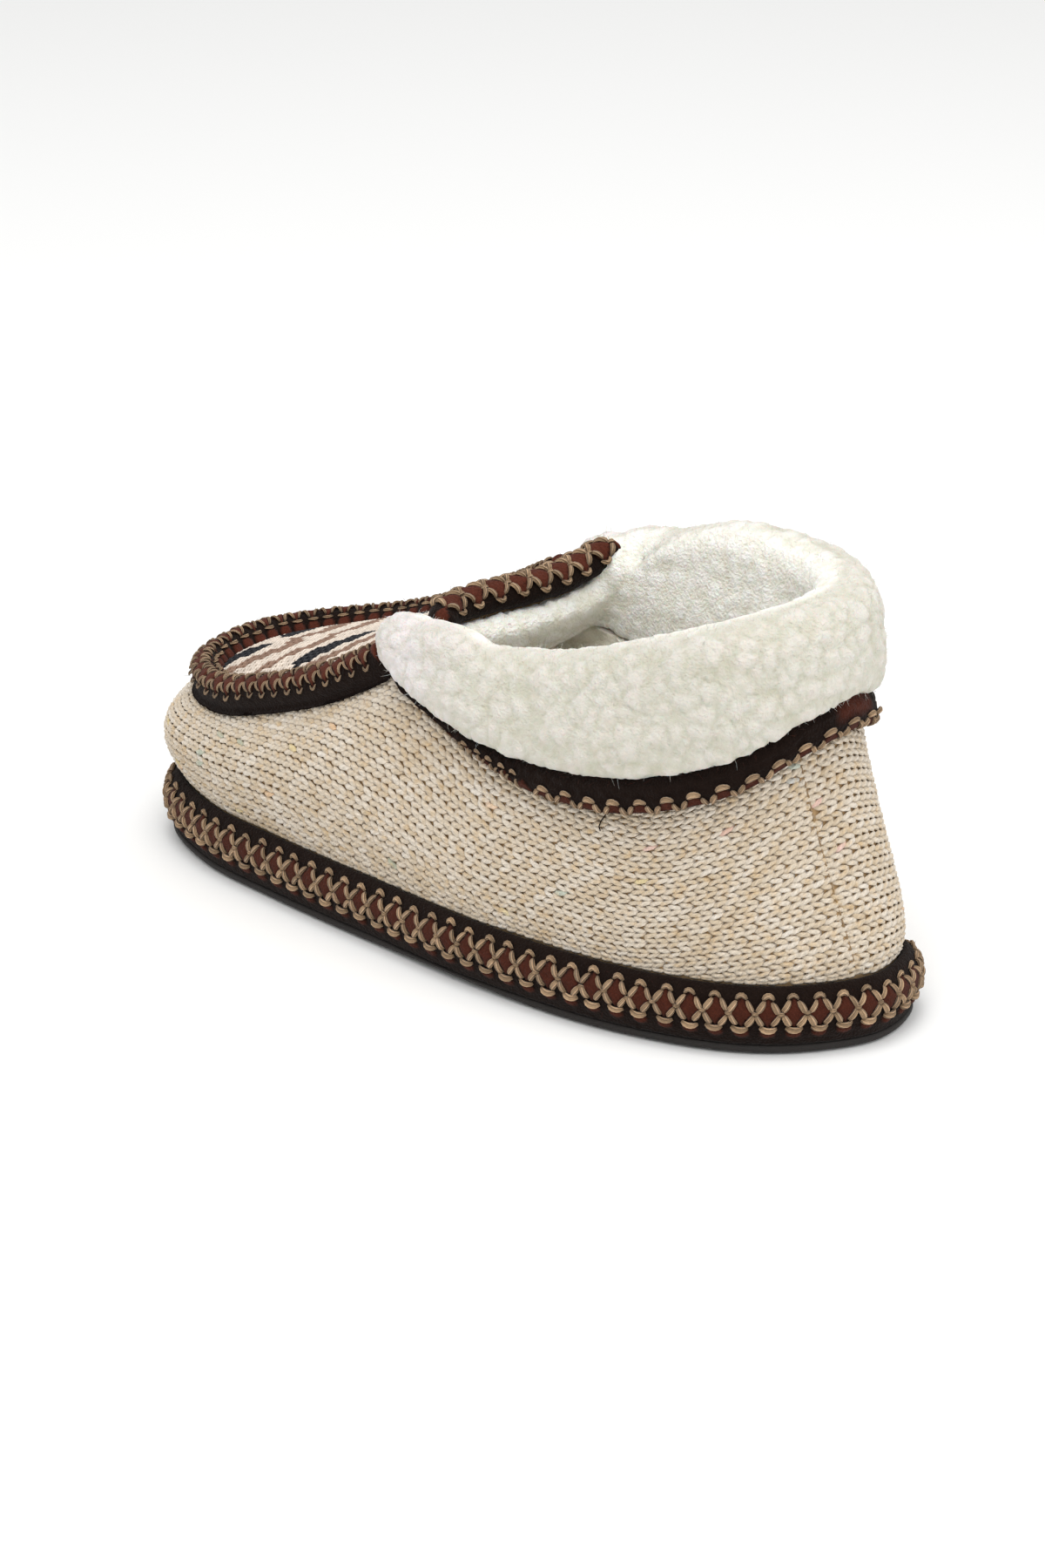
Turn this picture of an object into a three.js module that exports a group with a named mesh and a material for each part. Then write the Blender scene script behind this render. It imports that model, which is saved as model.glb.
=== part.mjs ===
// Moccasin slipper for the left foot: a hollow knitted upper on a moulded sole, with a knitted tape
// round the sole, a patterned plug on the vamp, corded trims and a fleece cuff folded over the collar.
// Lengths are in millimetres. +X runs to the toe, +Y to the outer side of the foot and +Z up.
import * as THREE from 'three';
import { mergeVertices } from 'three/addons/utils/BufferGeometryUtils.js';

// Place of the origin in the outline's own figures: the middle of the slipper at floor level.
const MIDDLE_X = 131.7;
const MIDDLE_Y = 1.25;
const TOE_TIP = 264;

// Fits and walls
const GAP = 0.3;
const SEAM_GAP = 0.9;
const UPPER_WALL = 3;
const PLUG_WALL = 3;

// Sole
const CONTACT_INSET = 6.5;
const EDGE_ROLL = 2.6;
const EDGE_ROLL_HIGH = 0.5;
const FLANGE_INSET = 2.2;
const FLANGE_TOP = 2.9;
const CORE_TOP = 12;
const ARCH_LIFT = 1.4;
const ARCH_BACK = 78;
const ARCH_FRONT = 158;
const TOE_SPRING = 2.5;
const SPRING_START = 214;
const INSOLE_TOP = 18.5;
const INSOLE_ROUND = 1.6;

// Tape round the sole
const BAND_TOP = 20.4;
const BAND_THICK = 6;

// Foot of the upper, tucked between tape and core
const TUCK_INSET = BAND_THICK + GAP;
const TUCK_BOTTOM = FLANGE_TOP + GAP;
const WALL_START = 20;

// Plug on the vamp, in plan: a rounded front, then sides that close in towards the throat
const PLUG_FRONT = 244;
const PLUG_WIDEST = 196;
const PLUG_BACK = 146;
const PLUG_HALF = 36.5;
const PLUG_HALF_BACK = 32;
const PLUG_POWER = 2.4;
const PLUG_MIDDLE = -1;
const THROAT_BACK = 124;

// Corded trims
const WELT_GAP = 0.6;
const PLUG_TRIM_HALF = 5.4;
const PLUG_TRIM_HIGH = 8;
const THROAT_TRIM_RADIUS = 5;
const THROAT_TRIM_RAISE = 1.6;

// Cuff
const CUFF_GAP = 0.8;
const RIM_GAP = 2;
const CUFF_INSIDE = 14;
const CUFF_THICK = 9;
const CUFF_LINING = 6;
const CUFF_FOLD = 7;
const CUFF_END_OUTER = 6.05;
const CUFF_END_INNER = 6.4;
const CUFF_NOSE = 0.9;
const NOSE_RISE = 0.9;
const EDGE_TRIM_HIGH = 10;
const EDGE_TRIM_NOSE = 3.5;
const EDGE_TRIM_THICK = 5.5;

// Rows between which the plug and its trims run
const PLUG_CORNER = 0.95;
const PLUG_TRIM_FROM = 6.2;
const PLUG_TRIM_TO = 6.88;
const THROAT_FROM = 6.25;
const THROAT_TO = 6.6;

// Fineness of the facets
const ROUND_STEPS = 80;
const WALL_STEPS = 10;
const TRIM_STEPS = 30;
const THROAT_STEPS = 14;
const PLUG_WALL_STEPS = 6;
const WELT_STEPS = 9;
const WELT_POWER = 0.8;
const HALVINGS = 24;
const LID_STRIPS = 3;

// One row a section, from the middle of the heel round the outer side to the toe and back along the
// inner side. outline: widest line of the tape round the sole. rim: top edge of the upper, which is the
// collar at the back and the throat at the front. hem: height of the cuff's low edge.
const SECTION_COLUMNS = ['outlineX', 'outlineY', 'rimX', 'rimY', 'rimZ', 'hem'];
const SECTIONS = [
  [-0.5, -1, 24.5, 0, 117.5, 86],
  [10, 20.2, 28, 14, 116, 82],
  [27, 35, 39, 25.5, 112.5, 73],
  [60, 47, 63, 31, 103.5, 63.5],
  [105, 51.4, 92, 33.5, 94, 61],
  [150, 49.3, 120, 34, 91, 68],
  [192, 46.4, 141, 29, 90, 78],
  [226, 41.6, 146, 20, 91.5, 80],
  [252, 28.6, 143, 8, 93, 80],
  [264, -4, 138, -4, 94, 80],
  [253, -31, 134, -17, 95.5, 80],
  [228, -44.6, 130, -29, 99, 80],
  [190, -49, 120, -36, 104, 82],
  [150, -45.5, 102, -36.5, 111, 80],
  [105, -38, 80, -34, 116.5, 78],
  [62, -37, 60, -31, 118, 78],
  [26, -33, 40, -24.5, 118.5, 80],
  [5.5, -23.5, 28.5, -14, 118, 83],
];

// Shape of the wall above the tape, the same on both sides: one row from the heel to the toe.
// belly and shoulder: how far the wall's guide points stand out from the outline, and their heights.
// reach and drop: how far the last guide point lies out from the rim and below it.
const WALL_COLUMNS = ['bellyOut', 'bellyZ', 'shoulderOut', 'shoulderZ', 'reach', 'drop'];
const WALLS = [
  [-1.5, 33, -18, 56, 2, 26],
  [-2, 33, -16, 56, 2, 26],
  [-2, 35, -11.5, 58, 3, 25],
  [-2, 37, -8, 58, 4, 22],
  [-1.5, 38, -6, 57, 4, 18],
  [-1, 38, -3, 56, 14, 18],
  [1, 36, 0, 51, 34, 27],
  [4, 36, 1, 53, 50, 33],
  [7, 36, 1, 56, 59, 36],
  [8, 36, 0, 57, 62, 37],
];

const ROWS = SECTIONS.length;
const UP = new THREE.Vector3(0, 0, 1);

// Small change of row or rise, for directions along the faces.
const NUDGE = 0.02;

// A closed line through one point a section; its parameter counts rows.
function closedLine(points) {
  const curve = new THREE.CatmullRomCurve3(points, true, 'centripetal');
  return (row) => curve.getPoint(THREE.MathUtils.euclideanModulo(row, ROWS) / ROWS);
}

function sectionPoints(x, y, z) {
  const pick = (row, name) => (name ? row[SECTION_COLUMNS.indexOf(name)] : 0);
  return SECTIONS.map((row) => new THREE.Vector3(pick(row, x), pick(row, y), pick(row, z)));
}

function wallPoints(x, y) {
  return SECTIONS.map((_, i) => {
    const row = WALLS[Math.min(i, ROWS - i)];
    return new THREE.Vector3(row[WALL_COLUMNS.indexOf(x)], row[WALL_COLUMNS.indexOf(y)], 0);
  });
}

const outlineAt = closedLine(sectionPoints('outlineX', 'outlineY'));
const rimAt = closedLine(sectionPoints('rimX', 'rimY', 'rimZ'));
const hemAt = closedLine(sectionPoints('outlineX', 'outlineY', 'hem'));
const bellyAt = closedLine(wallPoints('bellyOut', 'bellyZ'));
const shoulderAt = closedLine(wallPoints('shoulderOut', 'shoulderZ'));
const lastAt = closedLine(wallPoints('reach', 'drop'));

// Point of the outline moved outwards by some millimetres, at a height.
function outlinePoint(row, out, z) {
  const along = outlineAt(row + NUDGE).sub(outlineAt(row - NUDGE)).normalize();
  const point = outlineAt(row);
  return new THREE.Vector3(point.x - along.y * out, point.y + along.x * out, z);
}

// Outer face of the wall: rise runs from 0 at the tape to 1 at the rim.
function face(row, rise) {
  const foot = outlinePoint(row, -TUCK_INSET, WALL_START);
  const belly = outlinePoint(row, bellyAt(row).x, bellyAt(row).y);
  const shoulder = outlinePoint(row, shoulderAt(row).x, shoulderAt(row).y);
  const rim = rimAt(row);
  const outwards = shoulder.clone().sub(rim).setZ(0).normalize();
  const last = rim.clone().addScaledVector(outwards, lastAt(row).x).addScaledVector(UP, -lastAt(row).y);
  const fall = 1 - rise;
  return new THREE.Vector3()
    .addScaledVector(foot, fall ** 4)
    .addScaledVector(belly, 4 * fall ** 3 * rise)
    .addScaledVector(shoulder, 6 * fall ** 2 * rise ** 2)
    .addScaledVector(last, 4 * fall * rise ** 3)
    .addScaledVector(rim, rise ** 4);
}

// Direction up the wall and direction out of it.
function upAlong(row, rise) {
  return face(row, rise + NUDGE).sub(face(row, rise - NUDGE)).normalize();
}

function outOf(row, rise) {
  const round = face(row + NUDGE, rise).sub(face(row - NUDGE, rise));
  return upAlong(row, rise).cross(round).normalize();
}

// Point a distance out from the wall's face.
function skin(row, rise, out) {
  return face(row, rise).addScaledVector(outOf(row, rise), out);
}

// Change of rise that moves some millimetres along the wall.
function riseFor(row, rise, length) {
  return (2 * NUDGE * length) / face(row, rise + NUDGE).distanceTo(face(row, rise - NUDGE));
}

// Rise at which a test of the wall's face first holds, or 1 where it never does.
function riseWhere(row, test) {
  if (!test(face(row, 1))) {
    return 1;
  }
  let low = 0;
  let high = 1;
  for (let i = 0; i < HALVINGS; i += 1) {
    const middle = (low + high) / 2;
    if (test(face(row, middle))) {
      high = middle;
    } else {
      low = middle;
    }
  }
  return high;
}

// True inside the plug's outline in plan.
function inPlug(point) {
  const side = Math.abs(point.y - PLUG_MIDDLE);
  if (point.x > PLUG_WIDEST) {
    const forward = (point.x - PLUG_WIDEST) / (PLUG_FRONT - PLUG_WIDEST);
    return forward ** PLUG_POWER + (side / PLUG_HALF) ** PLUG_POWER < 1;
  }
  const share = Math.min(1, (PLUG_WIDEST - point.x) / (PLUG_WIDEST - PLUG_BACK));
  return point.x > THROAT_BACK && side < THREE.MathUtils.lerp(PLUG_HALF, PLUG_HALF_BACK, share ** 2);
}

const seamRise = (row) => riseWhere(row, inPlug);

// Bend up of the toe, shared by every piece.
function placed(point) {
  const spring = Math.max(0, (point.x - SPRING_START) / (TOE_TIP - SPRING_START));
  return [point.x - MIDDLE_X, point.y - MIDDLE_Y, point.z + TOE_SPRING * spring ** 2];
}

function solid(name, quads, look) {
  const corners = [];
  for (const [a, b, c, d] of quads) {
    corners.push(...placed(a), ...placed(b), ...placed(c));
    if (d) {
      corners.push(...placed(a), ...placed(c), ...placed(d));
    }
  }
  const raw = new THREE.BufferGeometry();
  raw.setAttribute('position', new THREE.Float32BufferAttribute(corners, 3));
  const geometry = mergeVertices(raw, 1e-4);
  geometry.computeVertexNormals();
  const mesh = new THREE.Mesh(geometry, new THREE.MeshStandardMaterial(look));
  mesh.name = name;
  return mesh;
}

// Faces between neighbouring loops; a loop runs round a section.
function between(loops, joined) {
  const quads = [];
  const last = joined ? loops.length : loops.length - 1;
  for (let i = 0; i < last; i += 1) {
    const near = loops[i];
    const far = loops[(i + 1) % loops.length];
    near.forEach((_, j) => {
      const k = (j + 1) % near.length;
      quads.push([near[j], near[k], far[k], far[j]]);
    });
  }
  return quads;
}

// Rows at which rings are cut into sections.
const RING_ROWS = Array.from({ length: ROUND_STEPS }, (_, i) => (i / ROUND_STEPS) * ROWS);

// A ring of sections that closes on itself.
function ringOf(sectionLoop) {
  return between(RING_ROWS.map(sectionLoop), true);
}

// Faces that close the end of a run of sections, in strips between the two sides of the loop.
function endCap(loop, flip) {
  const quads = [];
  const last = loop.length - 1;
  for (let i = 0; i < last - i - 1; i += 1) {
    const strip = [loop[i], loop[i + 1], loop[last - i - 1], loop[last - i]];
    const corners = [...new Set(strip)];
    quads.push(flip ? corners.reverse() : corners);
  }
  return quads;
}

// A run of sections with both ends closed.
function runOf(rows, sectionLoop) {
  const loops = rows.map(sectionLoop);
  return [...between(loops, false), ...endCap(loops[0], true), ...endCap(loops[loops.length - 1], false)];
}

function evenly(from, to, steps) {
  return Array.from({ length: steps + 1 }, (_, i) => from + ((to - from) * i) / steps);
}

// A lid of strips from side to side across a ring.
function lid(ring, flip) {
  const across = (i) => evenly(0, 1, LID_STRIPS).map((share) => {
    const far = ring[(ring.length - i) % ring.length];
    return ring[i].clone().lerp(far, share);
  });
  const quads = [];
  const half = ring.length / 2;
  for (let i = 0; i < half; i += 1) {
    const near = across(i);
    const far = across(i + 1);
    for (let j = 0; j < LID_STRIPS; j += 1) {
      let quad = [near[j], near[j + 1], far[j + 1], far[j]];
      if (i === 0) {
        quad = [near[0], far[j + 1], far[j]];
      }
      if (i === half - 1) {
        quad = [near[j], near[j + 1], far[0]];
      }
      quads.push(flip ? quad.reverse() : quad);
    }
  }
  return quads;
}

// A plate: a wall of rings with a lid below and above.
function plateOf(ringPoint, levels) {
  const rings = levels.map(([out, z]) => RING_ROWS.map((row) => ringPoint(row, out, z)));
  return [
    ...lid(rings[0], true),
    ...lid(rings[rings.length - 1], false),
    ...between(rings.reverse(), false),
  ];
}

// Height of the hollow under the waist of the sole.
function archLift(x) {
  const share = THREE.MathUtils.clamp((x - ARCH_BACK) / (ARCH_FRONT - ARCH_BACK), 0, 1);
  return ARCH_LIFT * Math.sin(Math.PI * share) ** 2;
}

function solePoint(row, out, z) {
  const point = outlinePoint(row, out, z);
  point.z += archLift(point.x) * Math.max(0, 1 - z / FLANGE_TOP);
  return point;
}

const outsole = solid('outsole', plateOf(solePoint, [
  [-CONTACT_INSET, 0],
  [-CONTACT_INSET + EDGE_ROLL, EDGE_ROLL_HIGH],
  [-FLANGE_INSET, FLANGE_TOP / 2],
  [-FLANGE_INSET, FLANGE_TOP],
  [-TUCK_INSET - UPPER_WALL - GAP, FLANGE_TOP],
  [-TUCK_INSET - UPPER_WALL - GAP, CORE_TOP],
]), { color: 0x322c29, roughness: 0.75, metalness: 0 });

// Section of the tape round the sole: distance out from the outline, and height.
const BAND_PROFILE = [
  [-FLANGE_INSET + GAP, FLANGE_TOP + GAP],
  [-0.5, 7.5],
  [0, 12.5],
  [-1, 17],
  [-3, BAND_TOP],
  [-BAND_THICK + 1, BAND_TOP + 0.4],
  [-BAND_THICK, BAND_TOP - 0.6],
  [-BAND_THICK, FLANGE_TOP + GAP],
];
const soleBand = solid('sole_band', ringOf((row) => (
  BAND_PROFILE.map(([out, z]) => outlinePoint(row, out, z))
)), { color: 0x4a3428, roughness: 0.95, metalness: 0 });

const insoleEdge = -TUCK_INSET - UPPER_WALL - GAP;
const insole = solid('insole', plateOf(outlinePoint, [
  [insoleEdge, CORE_TOP + GAP],
  [insoleEdge, INSOLE_TOP - INSOLE_ROUND],
  [insoleEdge - INSOLE_ROUND, INSOLE_TOP],
]), { color: 0xe9e6dc, roughness: 1, metalness: 0 });

// The upper ends at the collar behind and at the plug's seam in front.
const upper = solid('upper', ringOf((row) => {
  const top = seamRise(row);
  const end = top < 1 ? top - riseFor(row, top, SEAM_GAP / 2) : 1;
  const rises = evenly(0, end, WALL_STEPS);
  return [
    outlinePoint(row, -TUCK_INSET, TUCK_BOTTOM),
    ...rises.map((rise) => skin(row, rise, 0)),
    ...rises.reverse().map((rise) => skin(row, rise, -UPPER_WALL)),
    outlinePoint(row, -TUCK_INSET - UPPER_WALL, TUCK_BOTTOM),
  ];
}), { color: 0xd9c9ae, roughness: 0.95, metalness: 0 });

// The plug carries on the same face from the seam to the throat.
const plugRows = RING_ROWS.filter((row) => seamRise(row) < PLUG_CORNER);
const vampPlug = solid('vamp_plug', runOf(plugRows, (row) => {
  const seam = seamRise(row);
  const rises = evenly(seam + riseFor(row, seam, SEAM_GAP / 2), 1, PLUG_WALL_STEPS);
  return [
    ...rises.map((rise) => skin(row, rise, 0)),
    ...rises.reverse().map((rise) => skin(row, rise, -PLUG_WALL)),
  ];
}), { color: 0xcbb89c, roughness: 0.95, metalness: 0 });

// Section of a trim that lies on the wall: a flat foot and a round back.
function weltSection(point, side, out, half, high) {
  const at = (across, up) => point.clone().addScaledVector(side, across).addScaledVector(out, up);
  return evenly(0, Math.PI, WELT_STEPS).map((angle) => (
    at(half * Math.cos(angle), WELT_GAP + high * Math.sin(angle) ** WELT_POWER)
  ));
}

const plugTrim = solid('plug_trim', runOf(evenly(PLUG_TRIM_FROM, ROWS - PLUG_TRIM_TO, TRIM_STEPS), (row) => {
  const at = (r) => face(r, seamRise(r));
  const along = at(row + NUDGE).sub(at(row - NUDGE)).normalize();
  const out = outOf(row, seamRise(row));
  const side = out.clone().cross(along).normalize();
  return weltSection(at(row), side, out, PLUG_TRIM_HALF, PLUG_TRIM_HIGH);
}), { color: 0x5a4030, roughness: 0.95, metalness: 0 });

const throatTrim = solid('throat_trim', runOf(evenly(THROAT_FROM, ROWS - THROAT_TO, THROAT_STEPS), (row) => {
  const up = upAlong(row, 1);
  const out = outOf(row, 1);
  const middle = face(row, 1)
    .addScaledVector(up, THROAT_TRIM_RADIUS + GAP)
    .addScaledVector(out, THROAT_TRIM_RAISE);
  return evenly(0, 2 * Math.PI, WELT_STEPS).slice(0, WELT_STEPS).map((angle) => (
    middle.clone()
      .addScaledVector(up, -THROAT_TRIM_RADIUS * Math.sin(angle))
      .addScaledVector(out, -THROAT_TRIM_RADIUS * Math.cos(angle))
  ));
}), { color: 0x5a4030, roughness: 0.95, metalness: 0 });

// Share of the way into the rounded front end of the cuff.
function noseShare(row) {
  const end = row > 0 ? CUFF_END_OUTER : CUFF_END_INNER;
  return THREE.MathUtils.clamp((Math.abs(row) - end + CUFF_NOSE) / CUFF_NOSE, 0, 1);
}

// Rise of the cuff's low edge, which runs up to the throat at both front ends.
function hemRise(row) {
  const low = riseWhere(row, (point) => point.z > hemAt(row).z);
  return THREE.MathUtils.lerp(low, NOSE_RISE, 1 - Math.sqrt(1 - noseShare(row) ** 2));
}

function edgeTrimTop(row) {
  const high = THREE.MathUtils.lerp(EDGE_TRIM_HIGH, EDGE_TRIM_NOSE, noseShare(row));
  return hemRise(row) + riseFor(row, hemRise(row), high);
}

const NOSE_STEP = ROWS / ROUND_STEPS / 2;
const cuffRows = [
  ...evenly(-CUFF_END_INNER, -CUFF_END_INNER + CUFF_NOSE, Math.round(CUFF_NOSE / NOSE_STEP)),
  ...RING_ROWS.map((row) => (row > ROWS / 2 ? row - ROWS : row))
    .filter((row) => row > CUFF_NOSE + NOSE_STEP - CUFF_END_INNER)
    .filter((row) => row < CUFF_END_OUTER - CUFF_NOSE - NOSE_STEP)
    .sort((one, two) => one - two),
  ...evenly(CUFF_END_OUTER - CUFF_NOSE, CUFF_END_OUTER, Math.round(CUFF_NOSE / NOSE_STEP)),
];
// Outer side of the cuff's section: how far up the flap, and the share of its full thickness.
const FLAP_SIDE = [[0, 0.75], [0.3, 1], [0.7, 1]];

// Fold over the rim: share of the thickness out (+) or in (-) of the wall, and share of the fold's height.
const FOLD_OUT = [[0.9, 0.07], [0.55, 0.75]];
const FOLD_IN = [[-0.8, 0.7], [-1, 0]];
const FLAP_BACK = [0.85, 0.6, 0.3, 0];
const NOSE_THIN = 0.7;
const NEAR_RIM = 0.98;

const cuff = solid('cuff', runOf(cuffRows, (row) => {
  const low = edgeTrimTop(row) + riseFor(row, edgeTrimTop(row), CUFF_GAP);
  const inside = 1 - riseFor(row, NEAR_RIM, CUFF_INSIDE);
  const up = upAlong(row, NEAR_RIM);
  const full = THREE.MathUtils.lerp(1, NOSE_THIN, noseShare(row) ** 2);
  const thick = CUFF_THICK * full;
  const lining = UPPER_WALL + CUFF_LINING * full;
  const fold = CUFF_FOLD * full;
  const over = (out, raise) => skin(row, 1, out).addScaledVector(up, raise);
  const flap = (share, out) => skin(row, THREE.MathUtils.lerp(low, 1, share), out);
  return [
    ...FLAP_SIDE.map(([share, out]) => flap(share, out * thick)),
    ...FOLD_OUT.map(([out, raise]) => over(out * thick, raise * fold)),
    over(-UPPER_WALL / 2, fold),
    ...FOLD_IN.map(([out, raise]) => over(out * lining, raise * fold)),
    skin(row, inside, -lining),
    skin(row, inside, -UPPER_WALL - CUFF_GAP),
    skin(row, (1 + inside) / 2, -UPPER_WALL - CUFF_GAP),
    over(-UPPER_WALL - CUFF_GAP, RIM_GAP),
    over(-UPPER_WALL / 2, RIM_GAP),
    over(CUFF_GAP, RIM_GAP),
    ...FLAP_BACK.map((share) => flap(share, CUFF_GAP)),
  ];
}), { color: 0xf4f3ec, roughness: 1, metalness: 0 });

// Tape round the low edge: how far up it, and the share of its full thickness.
const EDGE_SIDE = [[0, 0.7], [0.25, 1], [0.75, 1], [1, 0.8]];
const EDGE_BACK = [1, 0.5, 0];

const cuffEdgeTrim = solid('cuff_edge_trim', runOf(cuffRows, (row) => {
  const tape = (share, out) => skin(row, THREE.MathUtils.lerp(hemRise(row), edgeTrimTop(row), share), out);
  return [
    ...EDGE_SIDE.map(([share, out]) => tape(share, out * EDGE_TRIM_THICK)),
    ...EDGE_BACK.map((share) => tape(share, CUFF_GAP)),
  ];
}), { color: 0x38241c, roughness: 0.95, metalness: 0 });

const slipper = new THREE.Group();
slipper.name = 'moccasin_slipper';
slipper.add(outsole, soleBand, insole, upper, vampPlug, plugTrim, throatTrim, cuff, cuffEdgeTrim);
export default slipper;
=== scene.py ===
import bmesh
import bpy
import numpy as np
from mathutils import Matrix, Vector, kdtree, noise


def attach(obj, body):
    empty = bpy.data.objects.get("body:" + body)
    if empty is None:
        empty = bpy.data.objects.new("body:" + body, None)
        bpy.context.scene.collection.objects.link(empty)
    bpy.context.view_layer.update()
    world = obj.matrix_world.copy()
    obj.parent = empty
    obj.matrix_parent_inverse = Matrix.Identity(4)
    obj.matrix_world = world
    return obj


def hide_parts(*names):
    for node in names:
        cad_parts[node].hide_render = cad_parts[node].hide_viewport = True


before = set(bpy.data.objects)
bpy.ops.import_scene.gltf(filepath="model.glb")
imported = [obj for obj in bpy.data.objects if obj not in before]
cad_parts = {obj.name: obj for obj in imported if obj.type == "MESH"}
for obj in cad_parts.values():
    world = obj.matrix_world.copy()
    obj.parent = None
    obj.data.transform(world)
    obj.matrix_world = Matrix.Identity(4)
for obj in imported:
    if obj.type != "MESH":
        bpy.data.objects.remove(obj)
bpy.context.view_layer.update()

# Outsole: the dark moulded plate that the slipper stands on, with a rolled edge, a low arch under
# the waist and a little toe spring. The tape, the upper and the insole are stuck to it.
MM = 0.001
TINY = 1e-6
UP = np.array([0, 0, 1])
ROWS = 18
MIDDLE = np.array([131.7, 1.25, 0])
TOE_TIP = 264
SPRING_START = 214
TOE_SPRING = 2.5

# Outline of the sole seen from above, one point a section: from the heel along the outer side to the
# toe, and back along the inner side.
OUTLINE = np.array([
    [-0.5, -1], [10, 20.2], [27, 35], [60, 47], [105, 51.4], [150, 49.3],
    [192, 46.4], [226, 41.6], [252, 28.6], [264, -4], [253, -31], [228, -44.6],
    [190, -49], [150, -45.5], [105, -38], [62, -37], [26, -33], [5.5, -23.5],
])

# Step to each side over which a slope is measured, in sections or in rise.
NUDGE = 0.02


def unit(vectors):
    return vectors / np.linalg.norm(vectors, axis=-1, keepdims=True)


def closed_line(points):
    """A smooth closed line through one point a section; its parameter counts sections."""
    gaps = np.linalg.norm(np.roll(points, -1, 0) - points, axis=1) ** 0.5
    gaps = np.where(gaps < TINY, 1, gaps)

    def at(row):
        row = np.asarray(row, float) % ROWS
        start = np.floor(row).astype(int) % ROWS
        part = (row - np.floor(row))[..., None]
        before, here, there, after = (points[(start + step) % ROWS] for step in (-1, 0, 1, 2))
        gap_before, gap, gap_after = (gaps[(start + step) % ROWS][..., None] for step in (-1, 0, 1))
        leave = ((here - before) / gap_before - (there - before) / (gap_before + gap)) * gap + there - here
        reach = ((after - there) / gap_after - (after - here) / (gap + gap_after)) * gap + there - here
        bend = 3 * (there - here) - 2 * leave - reach
        twist = 2 * (here - there) + leave + reach
        return here + leave * part + bend * part**2 + twist * part**3

    return at


outline_at = closed_line(OUTLINE)


def outline_point(row, out, height):
    """Point of the outline moved outwards by some millimetres, at a height."""
    along = unit(outline_at(row + NUDGE) - outline_at(row - NUDGE))
    point = outline_at(row)
    across = point[..., 0] - along[..., 1] * out
    aside = point[..., 1] + along[..., 0] * out
    return np.stack(np.broadcast_arrays(across, aside, height), -1)


def placed(points):
    """Millimetres on the drawing to metres in the part's frame, with the toe sprung up."""
    spring = np.maximum(0, (points[..., 0] - SPRING_START) / (TOE_TIP - SPRING_START))
    lift = TOE_SPRING * spring**2
    return (points - MIDDLE + lift[..., None] * UP) * MM


def bent_grid(around, across, bend, dyes=None):
    """A grid bent to a shape: bend takes shares of the way around and across and gives points."""
    shape = bmesh.new()
    bmesh.ops.create_grid(shape, x_segments=around, y_segments=across, size=0.5)
    weave = shape.loops.layers.uv.new("weave")
    flat = np.array([corner.co[:2] for corner in shape.verts]) + 0.5
    for face in shape.faces:
        face.smooth = True
        for loop in face.loops:
            loop[weave].uv = flat[loop.vert.index]
    if dyes is not None:
        colour = shape.verts.layers.float_color.new("dye")
        for corner, shade in zip(shape.verts, dyes(*flat.T)):
            corner[colour] = shade
    for corner, point in zip(shape.verts, placed(bend(*flat.T))):
        corner.co = point
    bmesh.ops.remove_doubles(shape, verts=shape.verts, dist=TINY)
    rim = [edge for edge in shape.edges if edge.is_boundary]
    if rim:
        bmesh.ops.holes_fill(shape, edges=rim, sides=0)
    bmesh.ops.recalc_face_normals(shape, faces=shape.faces)
    mesh = bpy.data.meshes.new("grid")
    shape.to_mesh(mesh)
    shape.free()
    return mesh


class Wire:
    """An output of a finish's nodes; sums and products of wires add Math nodes."""

    def __init__(self, finish, socket):
        self.finish = finish
        self.socket = socket

    def maths(self, operation, *values):
        return self.finish.node("ShaderNodeMath", {"operation": operation}, dict(enumerate(values)))

    def __add__(self, other):
        return self.maths("ADD", self, other)

    def __sub__(self, other):
        return self.maths("SUBTRACT", self, other)

    def __rsub__(self, other):
        return self.maths("SUBTRACT", other, self)

    def __mul__(self, other):
        return self.maths("MULTIPLY", self, other)

    __radd__ = __add__
    __rmul__ = __mul__


class Finish:
    """A material: one shader, its constants, and the nodes that feed it."""

    def __init__(self, name, constants):
        self.material = bpy.data.materials.new(name)
        self.material.use_nodes = True
        self.tree = self.material.node_tree
        self.shader = self.tree.nodes["Principled BSDF"]
        for socket, value in constants.items():
            self.shader.inputs[socket].default_value = value

    def node(self, kind, settings, sockets, out=0):
        made = self.tree.nodes.new(kind)
        for setting, value in settings.items():
            setattr(made, setting, value)
        for socket, value in sockets.items():
            self.join(value, made.inputs[socket])
        return Wire(self, made.outputs[out])

    def join(self, value, socket):
        if isinstance(value, Wire):
            self.tree.links.new(value.socket, socket)
        else:
            socket.default_value = value

    def feed(self, socket, value):
        self.join(value, self.shader.inputs[socket])

    def mix(self, share, first, second):
        return self.node("ShaderNodeMix", {"data_type": "RGBA"}, {0: share, 6: first, 7: second}, 2)

    def shade(self, colour, strength):
        """A colour made lighter or darker by a strength that varies."""
        return self.node("ShaderNodeVectorMath", {"operation": "SCALE"}, {0: colour, "Scale": strength})

    def carried(self):
        """The shade that the mesh itself carries."""
        return self.node("ShaderNodeAttribute", {"attribute_name": "dye"}, {})

    def speckle(self, size, detail):
        """Uneven patches about this many metres across, from 0 to 1."""
        where = self.node("ShaderNodeTexCoord", {}, {}, 3)
        return self.node("ShaderNodeTexNoise", {}, {"Vector": where, "Scale": 1 / size, "Detail": detail})

    def relief(self, height, depth):
        bump = self.node("ShaderNodeBump", {}, {"Strength": 1.0, "Distance": depth, "Height": height})
        self.feed("Normal", bump)


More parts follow.
